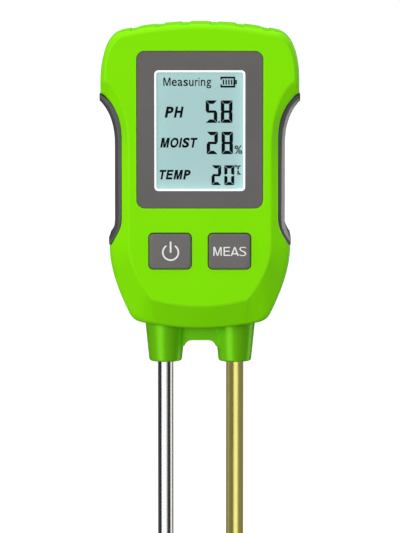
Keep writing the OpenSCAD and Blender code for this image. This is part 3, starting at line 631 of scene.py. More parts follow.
# ------------------------------------------------------------------ rear case
rear = rings_to_mesh("rear_case_shell", shell_rings(B, YB, SLOPE_B, 1))
boolean(rear, [slab("t", CAV, -2, YB - 5)])
boolean(rear, [slab("t", inset_clean(thin(B), 0.8), YB - 5.1, YB - 2)])
ring_out, ring_in = inset_clean(thin(E), 1.6), inset_clean(thin(E), 2.6)
tongue = rings_to_mesh("t", [at_y(ring_out, -1.4), at_y(ring_out, 1), at_y(ring_in, 1), at_y(ring_in, -1.4)], loop=True)
boolean(tongue, [block("t", (-19.5, -3, 5), (19.5, 3, 20.5))])
boolean(rear, [tongue] + [bar("t", p, -0.45, YB - 1.9, 3.4) for p in CASE_SCREWS] + [block("t", (-5.5, 5.5, 18), (5.5, YB - 4.9, 19.4))], "UNION")
boolean(rear, [block("t", (-16.6, -5.8, 31.1), (16.6, YB - 1.9, 95.9))], "UNION")
boolean(rear, cones() + [slab("t", rr(28.4, 60, 0.8, 6, 0, 63.5), YF + 11.4, YB - 1)]
        + [bar("t", p, -1, YB - 13, 1.3, 24) for p in CASE_SCREWS])
boolean(rear, [flared("t", 32.2, 64.2, 3, YB - 2, YB, 0.25, 63.5), bar("t", (0, 90.6), YF + 9, YF + 12, 2.2)]
        + [flared("t", 5.4, 5.4, 2.7, 3, YB, 0.35, p[1], p[0]) for p in CASE_SCREWS])
boolean(rear, [flared("t", 13, 4.4, 1.6, YB - 1.2, YB, 0.3, 95.6), web_slot()])
tidy(rear)
piece(shade(rear), "meter", M["case_green"], ["rear_case"])

# ------------------------------------------------------------------ grips
G0, G1 = len(s_top[0]) + len(s_top[1]) + 2 * K, len(s_top[0]) + len(s_top[1]) + 20 * K
g_in = np.vstack(grip_in + [[[LW - 0.1, 37.75]]])
g_in[0] = (HW, 85.1)
g_out = s_full[G0:G1 + 1]
g_e, g_p, g_b = e_half[G0:G1 + 1], p_half[G0:G1 + 1], b_half[G0:G1 + 1]
g_f = YF + SLOPE_F * np.linalg.norm(g_e - g_p, axis=1) + 0.8
g_k = YB - SLOPE_B * np.linalg.norm(g_e - g_b, axis=1) - 0.9


def grip(name, side, node_name):
    rings = []
    for i in range(len(g_in)):
        a, o, f, b = g_in[i], g_out[i], g_f[i], g_k[i]
        d = np.linalg.norm(o - a)
        u = (o - a) / d
        a = a + u * 0.01
        d -= 0.01
        R, r = min(1.15, 0.6 * d), 0.22
        sec = [(r * (1 - math.cos(t)), f + r * (1 - math.sin(t))) for t in np.radians([0, 30, 60, 90])]
        e = 0.16 * R
        sec += [(d - R - e, f), (d - R - 0.3 * e, f + 0.1 * e), (d - R + 0.5 * e, f + 0.6 * e), (d - R * 0.5, f + R * 0.55), (d - 0.5 * e, f + R * 1.1 - 0.6 * e), (d - 0.08 * e, f + R * 1.1 + 0.3 * e), (d, f + R * 1.1 + 1.2 * e)]
        sec += [(d, f + (b - f) * q) for q in (0.25, 0.5, 0.75)]
        sec += [(d - R + R * math.cos(t), b - R * (1 - math.sin(t))) for t in np.radians([0, 15, 30, 45, 60, 75, 90])]
        sec += [(r * (1 - math.sin(t)), b - r * (1 - math.cos(t))) for t in np.radians([0, 30, 60, 90])]
        rings.append(np.array([(side * (a[0] + u[0] * x), y, a[1] + u[1] * x) for x, y in sec]))
    o = rings_to_mesh(name, rings)
    return piece(shade(o, 40), "meter", M["grip_rubber"], [node_name])


grip_r = grip("right_grip_pad", 1, "right_grip")
grip_l = grip("left_grip_pad", -1, "left_grip")


# ------------------------------------------------------------------ display
def frame_solid(name, wo, ho, ro, wi, hi, ri, y0, y1, cz_o, cz_i, bev=0.2, seg=10):
    """Flat frame with softened front edges: outer and inner rounded rectangles."""
    O = lambda g: rr(wo - 2 * g, ho - 2 * g, max(ro - g, 0.02), seg, 0, cz_o)
    I = lambda g: rr(wi + 2 * g, hi + 2 * g, ri + g, seg, 0, cz_i)
    rings = [at_y(O(0), y1), at_y(O(0), y0 + bev)]
    for t in np.radians([30, 60, 90]):
        rings.append(at_y(O(bev * (1 - math.cos(t))), y0 + bev * (1 - math.sin(t))))
    for t in np.radians([90, 60, 30, 0]):
        rings.append(at_y(I(bev * (1 - math.cos(t))), y0 + bev * (1 - math.sin(t))))
    rings.append(at_y(I(0), y1))
    return rings_to_mesh(name, rings, loop=True)


bezel = frame_solid("bezel_plate", 39.1, 48.7, 2.5, 28.24, 37.54, 1.25, YF + 0.3, YF + 1.5, BEZ_Z, DISP_Z, 0.18)
piece(shade(bezel, 40), "meter", M["bezel_grey"], ["display_bezel"])

collar = frame_solid("display_collar", 28.16, 37.46, 1.2, 27.1, 36.4, 0.75, YF + 0.35, YF + 2.3, DISP_Z, DISP_Z, 0.08)
box = frame_solid("t", 32.6, 42, 0.8, 30.4, 40.4, 0.3, YF + 1.53, YF + 5.9, DISP_Z, DISP_Z, 0.1)
collar = join("display_collar", [collar, box])
piece(shade(collar, 40), "meter", M["frame_white"], ["lcd_frame"])


def pane(name, w, h, r, y0, y1, cz, c=0.12):
    return rings_to_mesh(name, [at_y(rr(w - 2 * c, h - 2 * c, max(r - c, 0.05), 6, 0, cz), y0), at_y(rr(w, h, r, 6, 0, cz), y0 + c),
                                at_y(rr(w, h, r, 6, 0, cz), y1 - c), at_y(rr(w - 2 * c, h - 2 * c, max(r - c, 0.05), 6, 0, cz), y1)])


window = pane("window_pane", 26.98, 36.28, 0.7, YF + 0.45, YF + 2.1, DISP_Z)
piece(shade(window, 30), "meter", M["window_clear"], ["display_window"])
glass = join("lcd_cell", [pane("t", 30, 38, 0.2, YF + 2.32, YF + 3.4, DISP_Z, 0.06), pane("t", 30, 40.2, 0.2, YF + 3.42, YF + 4.5, DISP_Z, 0.06)])
piece(shade(glass, 30), "meter", M["lcd_glass"], ["lcd_glass"])

INK_Y = (YF + 2.29, YF + 2.325)


def prism(name, polys, y0, y1):
    """Flat closed prisms, one per polygon."""
    verts, faces = [], []
    for p in polys:
        n, base = len(p), len(verts)
        verts += [(x, y0, z) for x, z in p] + [(x, y1, z) for x, z in p]
        faces.append([base + i for i in range(n)])
        faces.append([base + n + i for i in range(n - 1, -1, -1)])
        faces += [[base + i, base + (i + 1) % n, base + n + (i + 1) % n, base + n + i] for i in range(n)]
    return make_mesh(name, verts, faces)


SEG = {"0": "abcdef", "2": "abged", "5": "afgcd", "8": "abcdefg", "C": "afed"}


def seven(ch, x0, x1, z0, z1, s=1.08, gap=0.08):
    """Seven-segment figure: bars whose ends are cut at 45 degrees, with a hairline between them."""
    zm, h, g = (z0 + z1) / 2, s * 0.36, gap
    top = [(x0 + g, z1), (x1 - g, z1), (x1 - s - g, z1 - s), (x0 + s + g, z1 - s)]
    mid = [(x0 + g + 0.1, zm), (x0 + h + g + 0.1, zm + h), (x1 - h - g - 0.1, zm + h), (x1 - g - 0.1, zm), (x1 - h - g - 0.1, zm - h), (x0 + h + g + 0.1, zm - h)]
    left = [(x0, z1 - g), (x0 + s, z1 - s - g), (x0 + s, zm + h + g), (x0 + 0.16, zm + g + 0.06), (x0, zm + g + 0.22)]
    shape = {"a": top, "d": [(x, z0 + z1 - z) for x, z in top], "g": mid, "f": left, "b": [(x0 + x1 - x, z) for x, z in left],
             "e": [(x, z0 + z1 - z) for x, z in left], "c": [(x0 + x1 - x, z0 + z1 - z) for x, z in left]}
    return [shape[k] for k in SEG[ch]]


def box2(x0, x1, z0, z1):
    return [(x0, z0), (x1, z0), (x1, z1), (x0, z1)]


def disc(cx, cz, r, n=20):
    return [(cx + r * math.cos(2 * math.pi * k / n), cz + r * math.sin(2 * math.pi * k / n)) for k in range(n)]


digits = seven("5", 1.81, 5.40, 276.16, 283.14) + seven("8", 6.51, 10.13, 276.16, 283.14) + [box2(5.7, 6.22, 276.18, 276.7)]
digits += seven("2", 2.12, 5.59, 266.40, 273.40) + seven("8", 6.74, 10.30, 266.40, 273.40)
digits += seven("2", 3.64, 6.65, 256.75, 262.95, 0.98) + seven("0", 7.61, 10.71, 256.75, 262.95, 0.98)
digits = [[(x, z - LIFT) for x, z in p] for p in digits]
piece(prism("lcd_figures", digits, *INK_Y), "meter", M["lcd_ink"])

# battery mark: thick outline open at its left end, a nub at the right and four bars
bi = [[(6.38, 290.52), (10.97, 290.52), (10.97, 289.94), (6.95, 289.94), (6.75, 289.5), (6.38, 289.5)],
      [(6.38, 287.12), (6.38, 288.14), (6.75, 288.14), (6.95, 287.7), (10.97, 287.7), (10.97, 287.12)],
      box2(10.4, 10.97, 287.72, 289.92), box2(11.0, 11.5, 288.15, 289.5)]
bi += [box2(x - 0.22, x + 0.22, 288.02, 289.64) for x in (7.32, 8.17, 9.02, 9.87)]
piece(prism("lcd_battery_mark", [[(x, z - LIFT) for x, z in p] for p in bi], *INK_Y), "meter", M["lcd_ink"])
unit = seven("C", 11.66, 12.95, 260.04, 262.9, 0.5, 0.06)
piece(prism("lcd_unit_c", [[(x, z - LIFT) for x, z in p] for p in unit], *INK_Y), "meter", M["lcd_ink"])

# Glyph boxes in thousandths of the letter height unit: advance, left, right, low, high; regular and bold
REG = {"M": (833, 74, 759, 0, 716), "E": (667, 79, 622, 0, 716), "A": (667, -1, 668, 0, 716), "S": (667, 45, 615, -12, 728), "e": (556, 37, 515, -12, 530),
       "a": (556, 36, 514, -12, 530), "s": (500, 31, 464, -12, 530), "u": (556, 64, 485, -12, 519), "r": (333, 65, 346, 0, 530), "i": (222, 66, 157, 0, 716),
       "n": (556, 66, 487, 0, 530), "g": (556, 32, 486, -210, 530), "%": (889, 58, 831, -27, 728)}
BOLD = {"M": (833, 72, 761, 0, 716), "E": (667, 73, 617, 0, 716), "T": (611, 21, 590, 0, 716), "P": (667, 73, 619, 0, 716), "H": (722, 73, 648, 0, 716),
        "O": (778, 43, 734, -12, 728), "I": (278, 56, 223, 0, 716), "S": (667, 36, 621, -12, 728)}


def straight_letter(ch, w, h, s):
    """Letters made only of straight bars, as polygons in a w by h box with stroke s; None for the others."""
    v = s * 0.92
    if ch == "M":
        d = (w / 2 - 1.5 * s) / (w / 2 - 1.4 * s) * (h - 1.4 * s)
        return [[(0, 0), (s, 0), (s, d), (w / 2 - 0.5 * s, 0), (w / 2 + 0.5 * s, 0), (w - s, d), (w - s, 0), (w, 0), (w, h), (w - 1.4 * s, h), (w / 2, 1.4 * s), (1.4 * s, h), (0, h)]]
    if ch == "E":
        m = h * 0.52
        return [[(0, 0), (w, 0), (w, v), (s, v), (s, m - v / 2), (w * 0.93, m - v / 2), (w * 0.93, m + v / 2), (s, m + v / 2), (s, h - v), (w * 0.98, h - v), (w * 0.98, h), (0, h)]]
    if ch == "T":
        return [[(w / 2 - s / 2, 0), (w / 2 + s / 2, 0), (w / 2 + s / 2, h - v), (w, h - v), (w, h), (0, h), (0, h - v), (w / 2 - s / 2, h - v)]]
    if ch == "H":
        m = h * 0.53
        return [[(0, 0), (s, 0), (s, m - v / 2), (w - s, m - v / 2), (w - s, 0), (w, 0), (w, h), (w - s, h), (w - s, m + v / 2), (s, m + v / 2), (s, h), (0, h)]]
    if ch == "I":
        return [[(0, 0), (w, 0), (w, h), (0, h)]]
    if ch == "A":
        k = s * 1.08
        c, b = h * 0.29, h * 0.29 - v
        xl = lambda z: w / 2 * z / h
        return [[(0, 0), (k, 0), (k + xl(b), b), (w - k - xl(b), b), (w - k, 0), (w, 0), (w / 2 + k / 2, h), (w / 2 - k / 2, h)],
                [(k + xl(c), c), (w / 2, h - 1.35 * s), (w - k - xl(c), c)]]
    return None


def glyph(ch, bold):
    """A letter of the built-in typeface as a flat closed mesh: points and faces."""
    cu = bpy.data.curves.new("g", "FONT")
    cu.body, cu.size, cu.offset, cu.resolution_u, cu.extrude = ch, 1.0, bold, 6, 0.5
    tmp = link(bpy.data.objects.new("tmp_text", cu))
    me = bpy.data.meshes.new_from_object(tmp.evaluated_get(bpy.context.evaluated_depsgraph_get()))
    bpy.data.objects.remove(tmp)
    co = np.array([v.co for v in me.vertices], float).reshape(-1, 3)
    faces = [list(p.vertices) for p in me.polygons]
    bpy.data.meshes.remove(me)
    return co, faces


def word(name, text, x0, x1, z0, z1, y0, y1, shear=0.0, heavy=False, mat=None, body="meter", stroke=None, bold=None):
    """A word whose capitals stand from z0 to z1 and which runs from x0 to x1, as one thin closed mesh."""
    table = BOLD if heavy else REG
    st = (stroke or (0.235 if heavy else 0.15)) * 716
    bold = (0.04 if heavy else 0.01) if bold is None else bold
    pen, verts, faces = 0.0, [], []
    for ch in text:
        adv, l, r, lo, hi = table[ch]
        w = r - l
        polys = straight_letter(ch, w, 716.0, st)
        if polys is not None:
            outer = polys[0]
            if len(polys) == 1:
                n, base = len(outer), len(verts)
                for y in (y0, y1):
                    verts += [(pen + l + x, y, z) for x, z in outer]
                faces += [[base + i for i in range(n)], [base + n + i for i in range(n - 1, -1, -1)]]
                faces += [[base + i, base + (i + 1) % n, base + n + (i + 1) % n, base + n + i] for i in range(n)]
            else:
                # A: legs and bar as one outline split down the middle of the counter
                hole, c = polys[1], w / 2
                half_l = [outer[0], outer[1], outer[2], (c, outer[2][1]), (c, hole[0][1]), hole[0], hole[1], (c, 716.0), outer[7]]
                half_r = [(w - x, z) for x, z in half_l][::-1]
                for half in (half_l, half_r):
                    n, base = len(half), len(verts)
                    for y in (y0, y1):
                        verts += [(pen + l + x, y, z) for x, z in half]
                    faces += [[base + i for i in range(n)], [base + n + i for i in range(n - 1, -1, -1)]]
                    faces += [[base + i, base + (i + 1) % n, base + n + (i + 1) % n, base + n + i] for i in range(n)
                              if abs(half[i][0] - c) > 1e-6 or abs(half[(i + 1) % n][0] - c) > 1e-6]
        else:
            co, fs = glyph(ch, bold)
            mn, mx = co.min(0), co.max(0)
            base = len(verts)
            for v in co:
                verts.append((pen + l + (v[0] - mn[0]) / (mx[0] - mn[0]) * w, y0 if v[2] < 0 else y1, lo + (v[1] - mn[1]) / (mx[1] - mn[1]) * (hi - lo)))
            faces += [[base + i for i in f] for f in fs]
        pen += adv
    v = np.array(verts, float)
    v[:, 0] += shear * v[:, 2]
    lo_x, hi_x = v[:, 0].min(), v[:, 0].max()
    v[:, 0] = x0 + (v[:, 0] - lo_x) / (hi_x - lo_x) * (x1 - x0)
    v[:, 2] = z0 + v[:, 2] / 716.0 * (z1 - z0) - LIFT
    me = bpy.data.meshes.new(name)
    me.from_pydata([tuple(p) for p in to_m(v)], [], faces)
    bm = bmesh.new()
    bm.from_mesh(me)
    bmesh.ops.remove_doubles(bm, verts=bm.verts, dist=2e-7)
    bmesh.ops.recalc_face_normals(bm, faces=bm.faces)
    bm.to_mesh(me)
    bm.free()
    return piece(link(bpy.data.objects.new(name, me)), body, mat or M["lcd_ink"])


word("lcd_word_measuring", "Measuring", -11.34, 3.51, 287.64, 290.23, *INK_Y)
word("lcd_word_ph", "PH", -10.92, -5.00, 277.78, 281.21, *INK_Y, shear=0.21, heavy=True)
word("lcd_word_moist", "MOIST", -12.33, -0.70, 268.46, 271.50, *INK_Y, shear=0.21, heavy=True)
word("lcd_word_temp", "TEMP", -12.56, -2.87, 258.53, 261.51, *INK_Y, shear=0.21, heavy=True)
word("lcd_unit_percent", "%", 10.78, 13.14, 266.58, 269.11, *INK_Y, bold=0.014)
deg = rings_to_mesh("lcd_unit_degree", [at_y(disc(11.18, 62.72, r), y) for r, y in ((0.43, INK_Y[1]), (0.43, INK_Y[0]), (0.17, INK_Y[0]), (0.17, INK_Y[1]))], loop=True)
piece(deg, "meter", M["lcd_ink"])


# ------------------------------------------------------------------ buttons
def key(name, x, body, node_name):
    R = lambda w, h, r: rr(w, h, r, 8, x, BTN_Z)
    rings = [at_y(R(3, 3, 1.499), -13.12), at_y(R(3, 3, 1.499), -13.25), at_y(R(14.7, 13.0, 1.5), -13.25), at_y(R(14.9, 13.2, 1.6), -13.35),
             at_y(R(14.9, 13.2, 1.6), -13.8), at_y(R(14.7, 13.0, 1.5), -13.9), at_y(R(13, 11, 1.3), -13.9), at_y(R(13, 11, 1.3), -15.2)]
    for t in np.radians([0, 18, 36, 54, 72, 90]):
        g = 0.55 * (1 - math.cos(t))
        rings.append(at_y(R(13 - 2 * g, 11 - 2 * g, 1.3 - g * 0.6), -16.45 - 0.5 * math.sin(t)))
    for w, y in ((1.2, -16.968), (2.8, -16.985), (5.2, -16.995), (8.0, -17.0)):
        rings.append(at_y(R(13 - w, 11 - w, max(1.0 - w * 0.1, 0.3)), y))
    o = rings_to_mesh(name, rings)
    return piece(shade(o, 40), body, M["button_grey"], [node_name])


key("power_key_cap", -BX, "power_key", "power_button")
key("measure_key_cap", BX, "measure_key", "measure_button")
LEG_Y = (-17.025, -16.9)


def arc_solid(name, cx, cz, r, w, a0, a1, y0, y1, n=48):
    """Part of a flat ring as one closed solid with rounded ends."""
    pts = [(cx + (r + w / 2) * math.cos(math.radians(a0 + (a1 - a0) * k / n)), cz + (r + w / 2) * math.sin(math.radians(a0 + (a1 - a0) * k / n))) for k in range(n + 1)]
    ex, ez = cx + r * math.cos(math.radians(a1)), cz + r * math.sin(math.radians(a1))
    pts += [(ex + w / 2 * math.cos(math.radians(a1 + q)), ez + w / 2 * math.sin(math.radians(a1 + q))) for q in (30, 60, 90, 120, 150)]
    pts += [(cx + (r - w / 2) * math.cos(math.radians(a1 + (a0 - a1) * k / n)), cz + (r - w / 2) * math.sin(math.radians(a1 + (a0 - a1) * k / n))) for k in range(n + 1)]
    sx, sz = cx + r * math.cos(math.radians(a0)), cz + r * math.sin(math.radians(a0))
    pts += [(sx + w / 2 * math.cos(math.radians(a0 + 180 + q)), sz + w / 2 * math.sin(math.radians(a0 + 180 + q))) for q in (30, 60, 90, 120, 150)]
    return prism(name, [pts], y0, y1)


pc = (-9.07, 36.03)
ring = arc_solid("t", *pc, 2.42, 0.5, 90 + 38, 90 + 322, *LEG_Y)
stem = prism("t", [[(pc[0] + x, z) for x, z in ((-0.27, 35.98), (-0.18, 35.9), (0.18, 35.9), (0.27, 35.98), (0.27, 39.3), (0.18, 39.4), (-0.18, 39.4), (-0.27, 39.3))]], *LEG_Y)
piece(join("power_mark", [ring, stem]), "power_key", M["legend_white"])
word("measure_mark", "MEAS", 4.23, 14.46, 234.96, 237.74, *LEG_Y, mat=M["legend_white"], body="measure_key", stroke=0.135, bold=-0.012)

# ------------------------------------------------------------------ probe holder
sleeve_profile = [(0, 0), (2.9, 0.0), (4.3, 0.0)] + [(4.45 + 0.75 * math.sin(math.radians(15 * k)), 0.75 - 0.75 * math.cos(math.radians(15 * k))) for k in range(1, 7)]
sleeve_profile += [(5.2 + 1.52 * (z - 0.75) / 14.75, z) for z in (3, 6, 9, 12)] + [(6.72, 15.5), (0, 15.5)]
holder = lathe("probe_holder_moulding", sleeve_profile, (-PX, 0), 96)
web = [(-PX, 15.45), (PX, 15.45), (PX, 5.0), (6.2, 5.0)] + [(2.6 + 2.6 * math.cos(math.radians(a)), 4.3 + 2.6 * math.sin(math.radians(a))) for a in range(15, 91, 15)]
web += [(-x, z) for x, z in web[:1:-1]]
web2 = np.array(web)
plate = rings_to_mesh("t", [at_y(inset(web2[::-1], 0.25), -2.5), at_y(web2[::-1], -2.25), at_y(web2[::-1], 2.25), at_y(inset(web2[::-1], 0.25), 2.5)])
boolean(holder, [lathe("t", sleeve_profile, (PX, 0), 96)], "UNION")
boolean(holder, [plate], "UNION")
boolean(holder, [block("t", (-15.4, -8, 15.4), (15.4, 8, 17.9))], "UNION")
boolean(holder, [lathe("t", [(0, -1), (r, -1), (r, 16.2), (r + 1.73, 16.2), (r + 1.73, 19), (0, 19)], (x, 0), 64) for x, r in ((-PX, 2.27), (PX, 2.52))])
tidy(holder)
piece(shade(holder, 35), "meter", M["sleeve_green_shaded"], ["probe_holder"])


# ------------------------------------------------------------------ probes
def probe(name, x, r, mat_name, node_name, bore=None):
    z = lambda v: v - LIFT
    prof = [(0, z(0)), (0.22, z(0.02)), (0.42, z(0.1)), (0.6, z(0.3))]
    prof += [(0.6 + (r - 0.32 - 0.6) * k / 6, z(0.3 + 5.9 * k / 6)) for k in range(1, 7)]
    prof += [(r - 0.12, z(6.72)), (r - 0.03, z(7.1)), (r, z(7.6))] + [(r, z(7.6 + 192.2 * k / 8)) for k in range(1, 9)]
    prof += [(r, z(199.95)), (r - 0.05, z(199.98)), (r - 0.25, z(199.98)), (r - 0.25, z(217.95)), (2, z(217.95)), (2, z(223)), (1.7, z(223.4))]
    if bore:
        prof += [(bore, z(223.4)), (bore, z(12.6)), (bore * 0.6, z(12.15)), (0, z(12))]
    else:
        prof += [(0, z(223.4))]
    o = lathe(name, prof, (x, 0), 96)
    return piece(shade(o, 30), "meter", M[mat_name], [node_name])


steel = probe("steel_probe_rod", -PX, 2.5, "probe_steel", "steel_probe", 1.4)
brass = probe("brass_probe_rod", PX, 2.75, "probe_brass", "brass_probe")

# ------------------------------------------------------------------ battery and its leads
BATT_Y = YF + 11.6 + 8.75


def xy_ring(w, t, r, z, n=8):
    p = rr(w, t, r, n)
    return np.column_stack([p[:, 0], p[:, 1] + BATT_Y, np.full(len(p), z)])


zs, rings = (33.7, 80.1), []
for t in np.radians([0, 30, 60, 90]):
    g = 0.7 * (1 - math.sin(t))
    rings.append(xy_ring(26.5 - 2 * g, 17.5 - 2 * g, 2 - g * 0.7, zs[0] + 0.7 * (1 - math.cos(t))))
rings += [xy_ring(26.5, 17.5, 2, z) for z in (48.0, 66.0)]
for t in np.radians([90, 60, 30, 0]):
    g = 0.7 * (1 - math.sin(t))
    rings.append(xy_ring(26.5 - 2 * g, 17.5 - 2 * g, 2 - g * 0.7, zs[1] - 0.7 * (1 - math.cos(t))))
rings.append(xy_ring(23.2, 14.2, 1.2, 80.1))
rings.append(xy_ring(22.6, 13.6, 1.0, 79.6))
battery = rings_to_mesh("battery_block", rings)
battery.data.materials.append(M["battery_wrap"])
battery.data.materials.append(M["battery_band"])
for f in battery.data.polygons:
    z = f.center[2] * 1000 - LIFT
    f.material_index = 1 if 66.0 < z < 80.0 and f.normal[2] < 0.2 else 0
shade(battery, 40)
piece(battery, "meter", None, ["battery"])

plus = lathe("t", [(0, 79.55), (2.75, 79.55), (2.75, 81.7), (2.45, 82.0), (1.6, 82.0), (1.3, 81.75), (0, 81.75)], (-6.35, BATT_Y), 48)
minus = lathe("t", [(2.9, 80.35), (2.9, 81.6), (3.05, 82.0), (3.6, 82.0), (3.9, 81.6), (3.9, 79.55), (0.3, 79.55), (0.3, 80.35)], (6.35, BATT_Y), 48)
o = join("battery_snaps", [plus, minus])
bm = bmesh.new()
bm.from_mesh(o.data)
bmesh.ops.recalc_face_normals(bm, faces=bm.faces)
bm.to_mesh(o.data)
bm.free()
piece(shade(o, 40), "meter", M["terminal_steel"], ["battery_terminals"])


def smooth_path(p, n):
    p = [np.array(v, float) for v in p]
    out = []
    for i in range(len(p) - 1):
        a, b, c, d = p[max(i - 1, 0)], p[i], p[i + 1], p[min(i + 2, len(p) - 1)]
        for k in range(n):
            t = k / n
            out.append(0.5 * ((2 * b) + (c - a) * t + (2 * a - 5 * b + 4 * c - d) * t * t + (3 * b - a - 3 * c + d) * t ** 3))
    return out + [p[-1]]


def tube(name, pts, r, k=16):
    rings, up = [], None
    for i in range(len(pts)):
        t = pts[min(i + 1, len(pts) - 1)] - pts[max(i - 1, 0)]
        t = t / np.linalg.norm(t)
        if up is None:
            up = np.cross(t, [0, 1, 0] if abs(t[1]) < 0.8 else [1, 0, 0])
        up = up - t * np.dot(up, t)
        up = up / np.linalg.norm(up)
        v = np.cross(t, up)
        rings.append(np.array([pts[i] + r * (up * math.cos(2 * math.pi * j / k) + v * math.sin(2 * math.pi * j / k)) for j in range(k)]))
    return rings_to_mesh(name, rings)


for s, mat_name, nm in ((-1, "wire_red", "lead_red"), (1, "wire_black", "lead_black")):
    y = BATT_Y - 3.5
    pts = smooth_path([(s * 2.6, y, 83.6), (s * 2.6, y, 86.3), (s * 2.2, y - 2.2, 89), (s * 1, YF + 12.6, 90.5), (s * 1, YF + 9.6, 90.6),
                       (s * 1.5, -7.2, 90.6), (s * 1.5, -7.88, 90.6)], 7)
    o = tube(nm, pts, 0.62)
    piece(shade(o, 40, False), "meter", M[mat_name], ["battery_leads"])


# ------------------------------------------------------------------ CAD pieces that stay as packed, with softened edges
def soften(name, mat_name, width=0.12, seg=2, angle=40):
    o = NODE[name]
    paint(o, M[mat_name])
    w = o.modifiers.new("weld", "WELD")
    w.merge_threshold = 2e-6
    d = o.modifiers.new("flat", "DECIMATE")
    d.decimate_type = "DISSOLVE"
    d.angle_limit = math.radians(0.6)
    if width > 0:
        b = o.modifiers.new("edges", "BEVEL")
        b.width = width * 0.001
        b.segments = seg
        b.limit_method = "ANGLE"
        b.angle_limit = math.radians(angle)
        b.use_clamp_overlap = True
        b.harden_normals = False
    for p in o.data.polygons:
        p.use_smooth = True
    m = o.modifiers.new("normals", "WEIGHTED_NORMAL")
    m.keep_sharp = True
    m.weight = 50


for name, mat_name, width in (
        ("battery_door", "case_green", 0.16), ("battery_foam", "foam_grey", 0.35), ("snap_connector", "snap_black", 0.3),
        ("snap_contacts", "terminal_steel", 0.2), ("case_screws", "screw_steel", 0.12), ("board_screws", "screw_steel", 0.1),
        ("main_board", "board_green", 0.08), ("controller_chip", "chip_black", 0.08), ("board_components", "component_mix", 0.08),
        ("power_switch", "switch_black", 0.08), ("measure_switch", "switch_black", 0.08), ("power_plunger", "plunger_white", 0.1),
        ("measure_plunger", "plunger_white", 0.1), ("backlight_panel", "light_white", 0.1), ("lcd_connector_strips", "strip_rubber", 0.1),
        ("temperature_sensor", "sensor_epoxy", 0.0), ("probe_seals", "seal_rubber", 0.0), ("ring_terminals", "terminal_brass", 0.08),
        ("probe_nuts", "nut_steel", 0.12), ("probe_wires", "wire_blue", 0.0), ("wire_header", "header_white", 0.08)):
    soften(name, mat_name, width)

# ------------------------------------------------------------------ floor, light, camera
me = bpy.data.meshes.new("floor")
me.from_pydata([(-20, -20, 0), (20, -20, 0), (20, 20, 0), (-20, 20, 0)], [], [(0, 1, 2, 3)])
floor = link(bpy.data.objects.new("floor", me))
m, nt = new_material("floor_white")
out = nt.nodes.new("ShaderNodeOutputMaterial")
d = nt.nodes.new("ShaderNodeBsdfDiffuse")
tc = nt.nodes.new("ShaderNodeTexCoord").outputs["Object"]
nt.links.new(colour_mix(nt, noise(nt, tc, 3, 2), (0.34, 0.34, 0.34), (0.36, 0.36, 0.36)), d.inputs[0])
em = nt.nodes.new("ShaderNodeEmission")
lpf = nt.nodes.new("ShaderNodeLightPath")
nt.links.new(lpf.outputs["Is Camera Ray"], em.inputs["Strength"])
add = nt.nodes.new("ShaderNodeAddShader")
nt.links.new(d.outputs[0], add.inputs[0])
nt.links.new(em.outputs[0], add.inputs[1])
nt.links.new(add.outputs[0], out.inputs[0])
floor.data.materials.append(m)
floor.visible_glossy = False
floor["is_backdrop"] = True

SCENE.view_settings.view_transform = "Standard"
SCENE.view_settings.look = "None"
SCENE.view_settings.exposure = 0.0
SCENE.view_settings.gamma = 1.0

world = bpy.data.worlds.new("studio")
SCENE.world = world
world.use_nodes = True
nt = world.node_tree
for n in list(nt.nodes):
    nt.nodes.remove(n)
out = nt.nodes.new("ShaderNodeOutputWorld")
lp = nt.nodes.new("ShaderNodeLightPath")
bg_cam = node(nt, "ShaderNodeBackground")
bg_cam.inputs[0].default_value = (1, 1, 1, 1)
bg_cam.inputs[1].default_value = 1.0
bg_dif = node(nt, "ShaderNodeBackground")
bg_dif.inputs[0].default_value = (1, 1, 1, 1)
bg_dif.inputs[1].default_value = 0.35
bg_gl = node(nt, "ShaderNodeBackground")
bg_gl.inputs[0].default_value = (1, 1, 1, 1)
bg_gl.inputs[1].default_value = 0.03
mx1 = nt.nodes.new("ShaderNodeMixShader")
nt.links.new(lp.outputs["Is Glossy Ray"], mx1.inputs[0])
nt.links.new(bg_dif.outputs[0], mx1.inputs[1])
nt.links.new(bg_gl.outputs[0], mx1.inputs[2])
mx2 = nt.nodes.new("ShaderNodeMixShader")
nt.links.new(lp.outputs["Is Camera Ray"], mx2.inputs[0])
nt.links.new(mx1.outputs[0], mx2.inputs[1])
nt.links.new(bg_cam.outputs[0], mx2.inputs[2])
nt.links.new(mx2.outputs[0], out.inputs[0])

TARGET = Vector((-0.00005, 0.0, 0.22984))


def area(name, az, el, dist, w, h, power, target=TARGET, colour=(1, 1, 1), glossy=False, diffuse=True, only=None, shades=None):
    """Rectangular lamp at an azimuth from the camera side towards +X and an elevation, both in degrees, aimed at the target."""
    li = bpy.data.lights.new(name, "AREA")
    li.shape = "RECTANGLE"
    li.size, li.size_y = w, h
    li.energy = power
    li.color = colour
    o = link(bpy.data.objects.new(name, li))
    a, e = math.radians(az), math.radians(el)
    o.location = target + dist * Vector((math.sin(a) * math.cos(e), -math.cos(a) * math.cos(e), math.sin(e)))
    o.rotation_euler = (target - o.location).to_track_quat("-Z", "Y").to_euler()
    o.visible_camera = False
    o.visible_glossy = glossy
    o.visible_diffuse = diffuse
    if only:
        c = bpy.data.collections.new("lit_by_" + name)
        for x in only:
            c.objects.link(x)
        o.light_linking.receiver_collection = c
    if shades:
        c = bpy.data.collections.new("shaded_by_" + name)
        for x in shades:
            c.objects.link(x)
        o.light_linking.blocker_collection = c
    return o


def lamp(name, az, el, power, size=0.6, **kw):
    return area(name, az, el, 1.6, size, size, power, **kw)


def strip(name, az, half, radiance, who, dist=0.45, height=0.9, el=-5):
    """Tall panel seen only as a reflection in the given pieces, half degrees wide either side of its azimuth."""
    w = 2 * dist * math.tan(math.radians(half))
    return area(name, az, el, dist, w, height, math.pi * w * height * radiance, glossy=True, diffuse=False, only=who, shades=who)


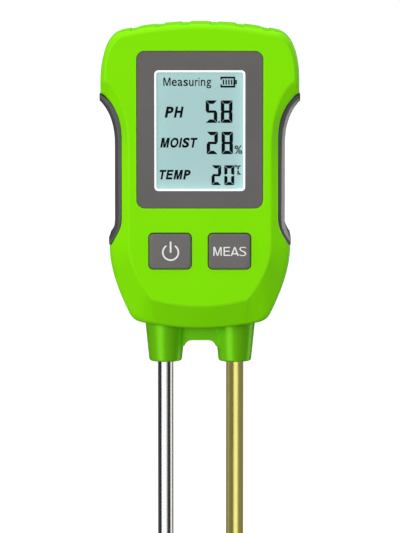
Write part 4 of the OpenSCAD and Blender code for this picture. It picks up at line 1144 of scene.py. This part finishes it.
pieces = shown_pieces()
body_and_floor = [x for x in pieces if x is not holder] + [floor]
lamp("front_low", -14, 5, 7.6, only=body_and_floor)
lamp("front_left", -35, 10, 3.9, only=body_and_floor)
lamp("front_high", 0, 28, 4.6, only=body_and_floor)
lamp("top", 0, 75, 1.5, only=body_and_floor)
lamp("side_left", -80, 15, 3.2, only=body_and_floor)
lamp("side_right", 80, 15, 0.5, only=body_and_floor)
lamp("crown_back", 180, 68, 14.0, only=pieces)
lamp("back_left", -150, 35, 2.5, 0.8, only=pieces)
lamp("back_right", 140, 40, 3.0, 0.8, only=pieces)
lamp("holder_left", -50, 10, 12.0, only=[holder])
lamp("holder_front", 4, 6, 6.0, only=[holder])
strip("holder_strip", -34, 18, 1.05, [holder])
strip("holder_rim", 112, 12, 1.0, [holder])
strip("steel_wide", -24, 36, 1.1, [steel])
strip("steel_soft", 22, 9, 0.3, [steel])
strip("steel_edge", 92, 17, 0.75, [steel])
strip("steel_back_right", 150, 24, 0.3, [steel])
strip("steel_back_left", -126, 14, 0.13, [steel])
strip("steel_rim_left", -162, 14, 0.6, [steel])
strip("brass_front", 14, 27, 1.15, [brass])
strip("brass_left", -80, 44, 0.2, [brass])
strip("brass_right", 84, 44, 0.2, [brass])
strip("brass_back_left", -150, 25, 0.2, [brass])
strip("brass_back_right", 150, 25, 0.2, [brass])
strip("grip_right_glow", 92, 24, 8.0, [grip_r])
strip("grip_left_glow", -8, 20, 2.5, [grip_l])
strip("rim_right", 132, 26, 1.7, [front, rear], dist=0.9, el=0)

cam = bpy.data.cameras.new("camera")
cam.lens = 235.1
cam.sensor_width = 36
cam.clip_end = 200
co = link(bpy.data.objects.new("camera", cam))
a, e, dist = math.radians(0.4), math.radians(6), 1.1
co.location = TARGET + dist * Vector((math.sin(a) * math.cos(e), -math.cos(a) * math.cos(e), math.sin(e)))
co.rotation_euler = (TARGET - co.location).to_track_quat("-Z", "Y").to_euler()
SCENE.camera = co

bpy.context.view_layer.update()
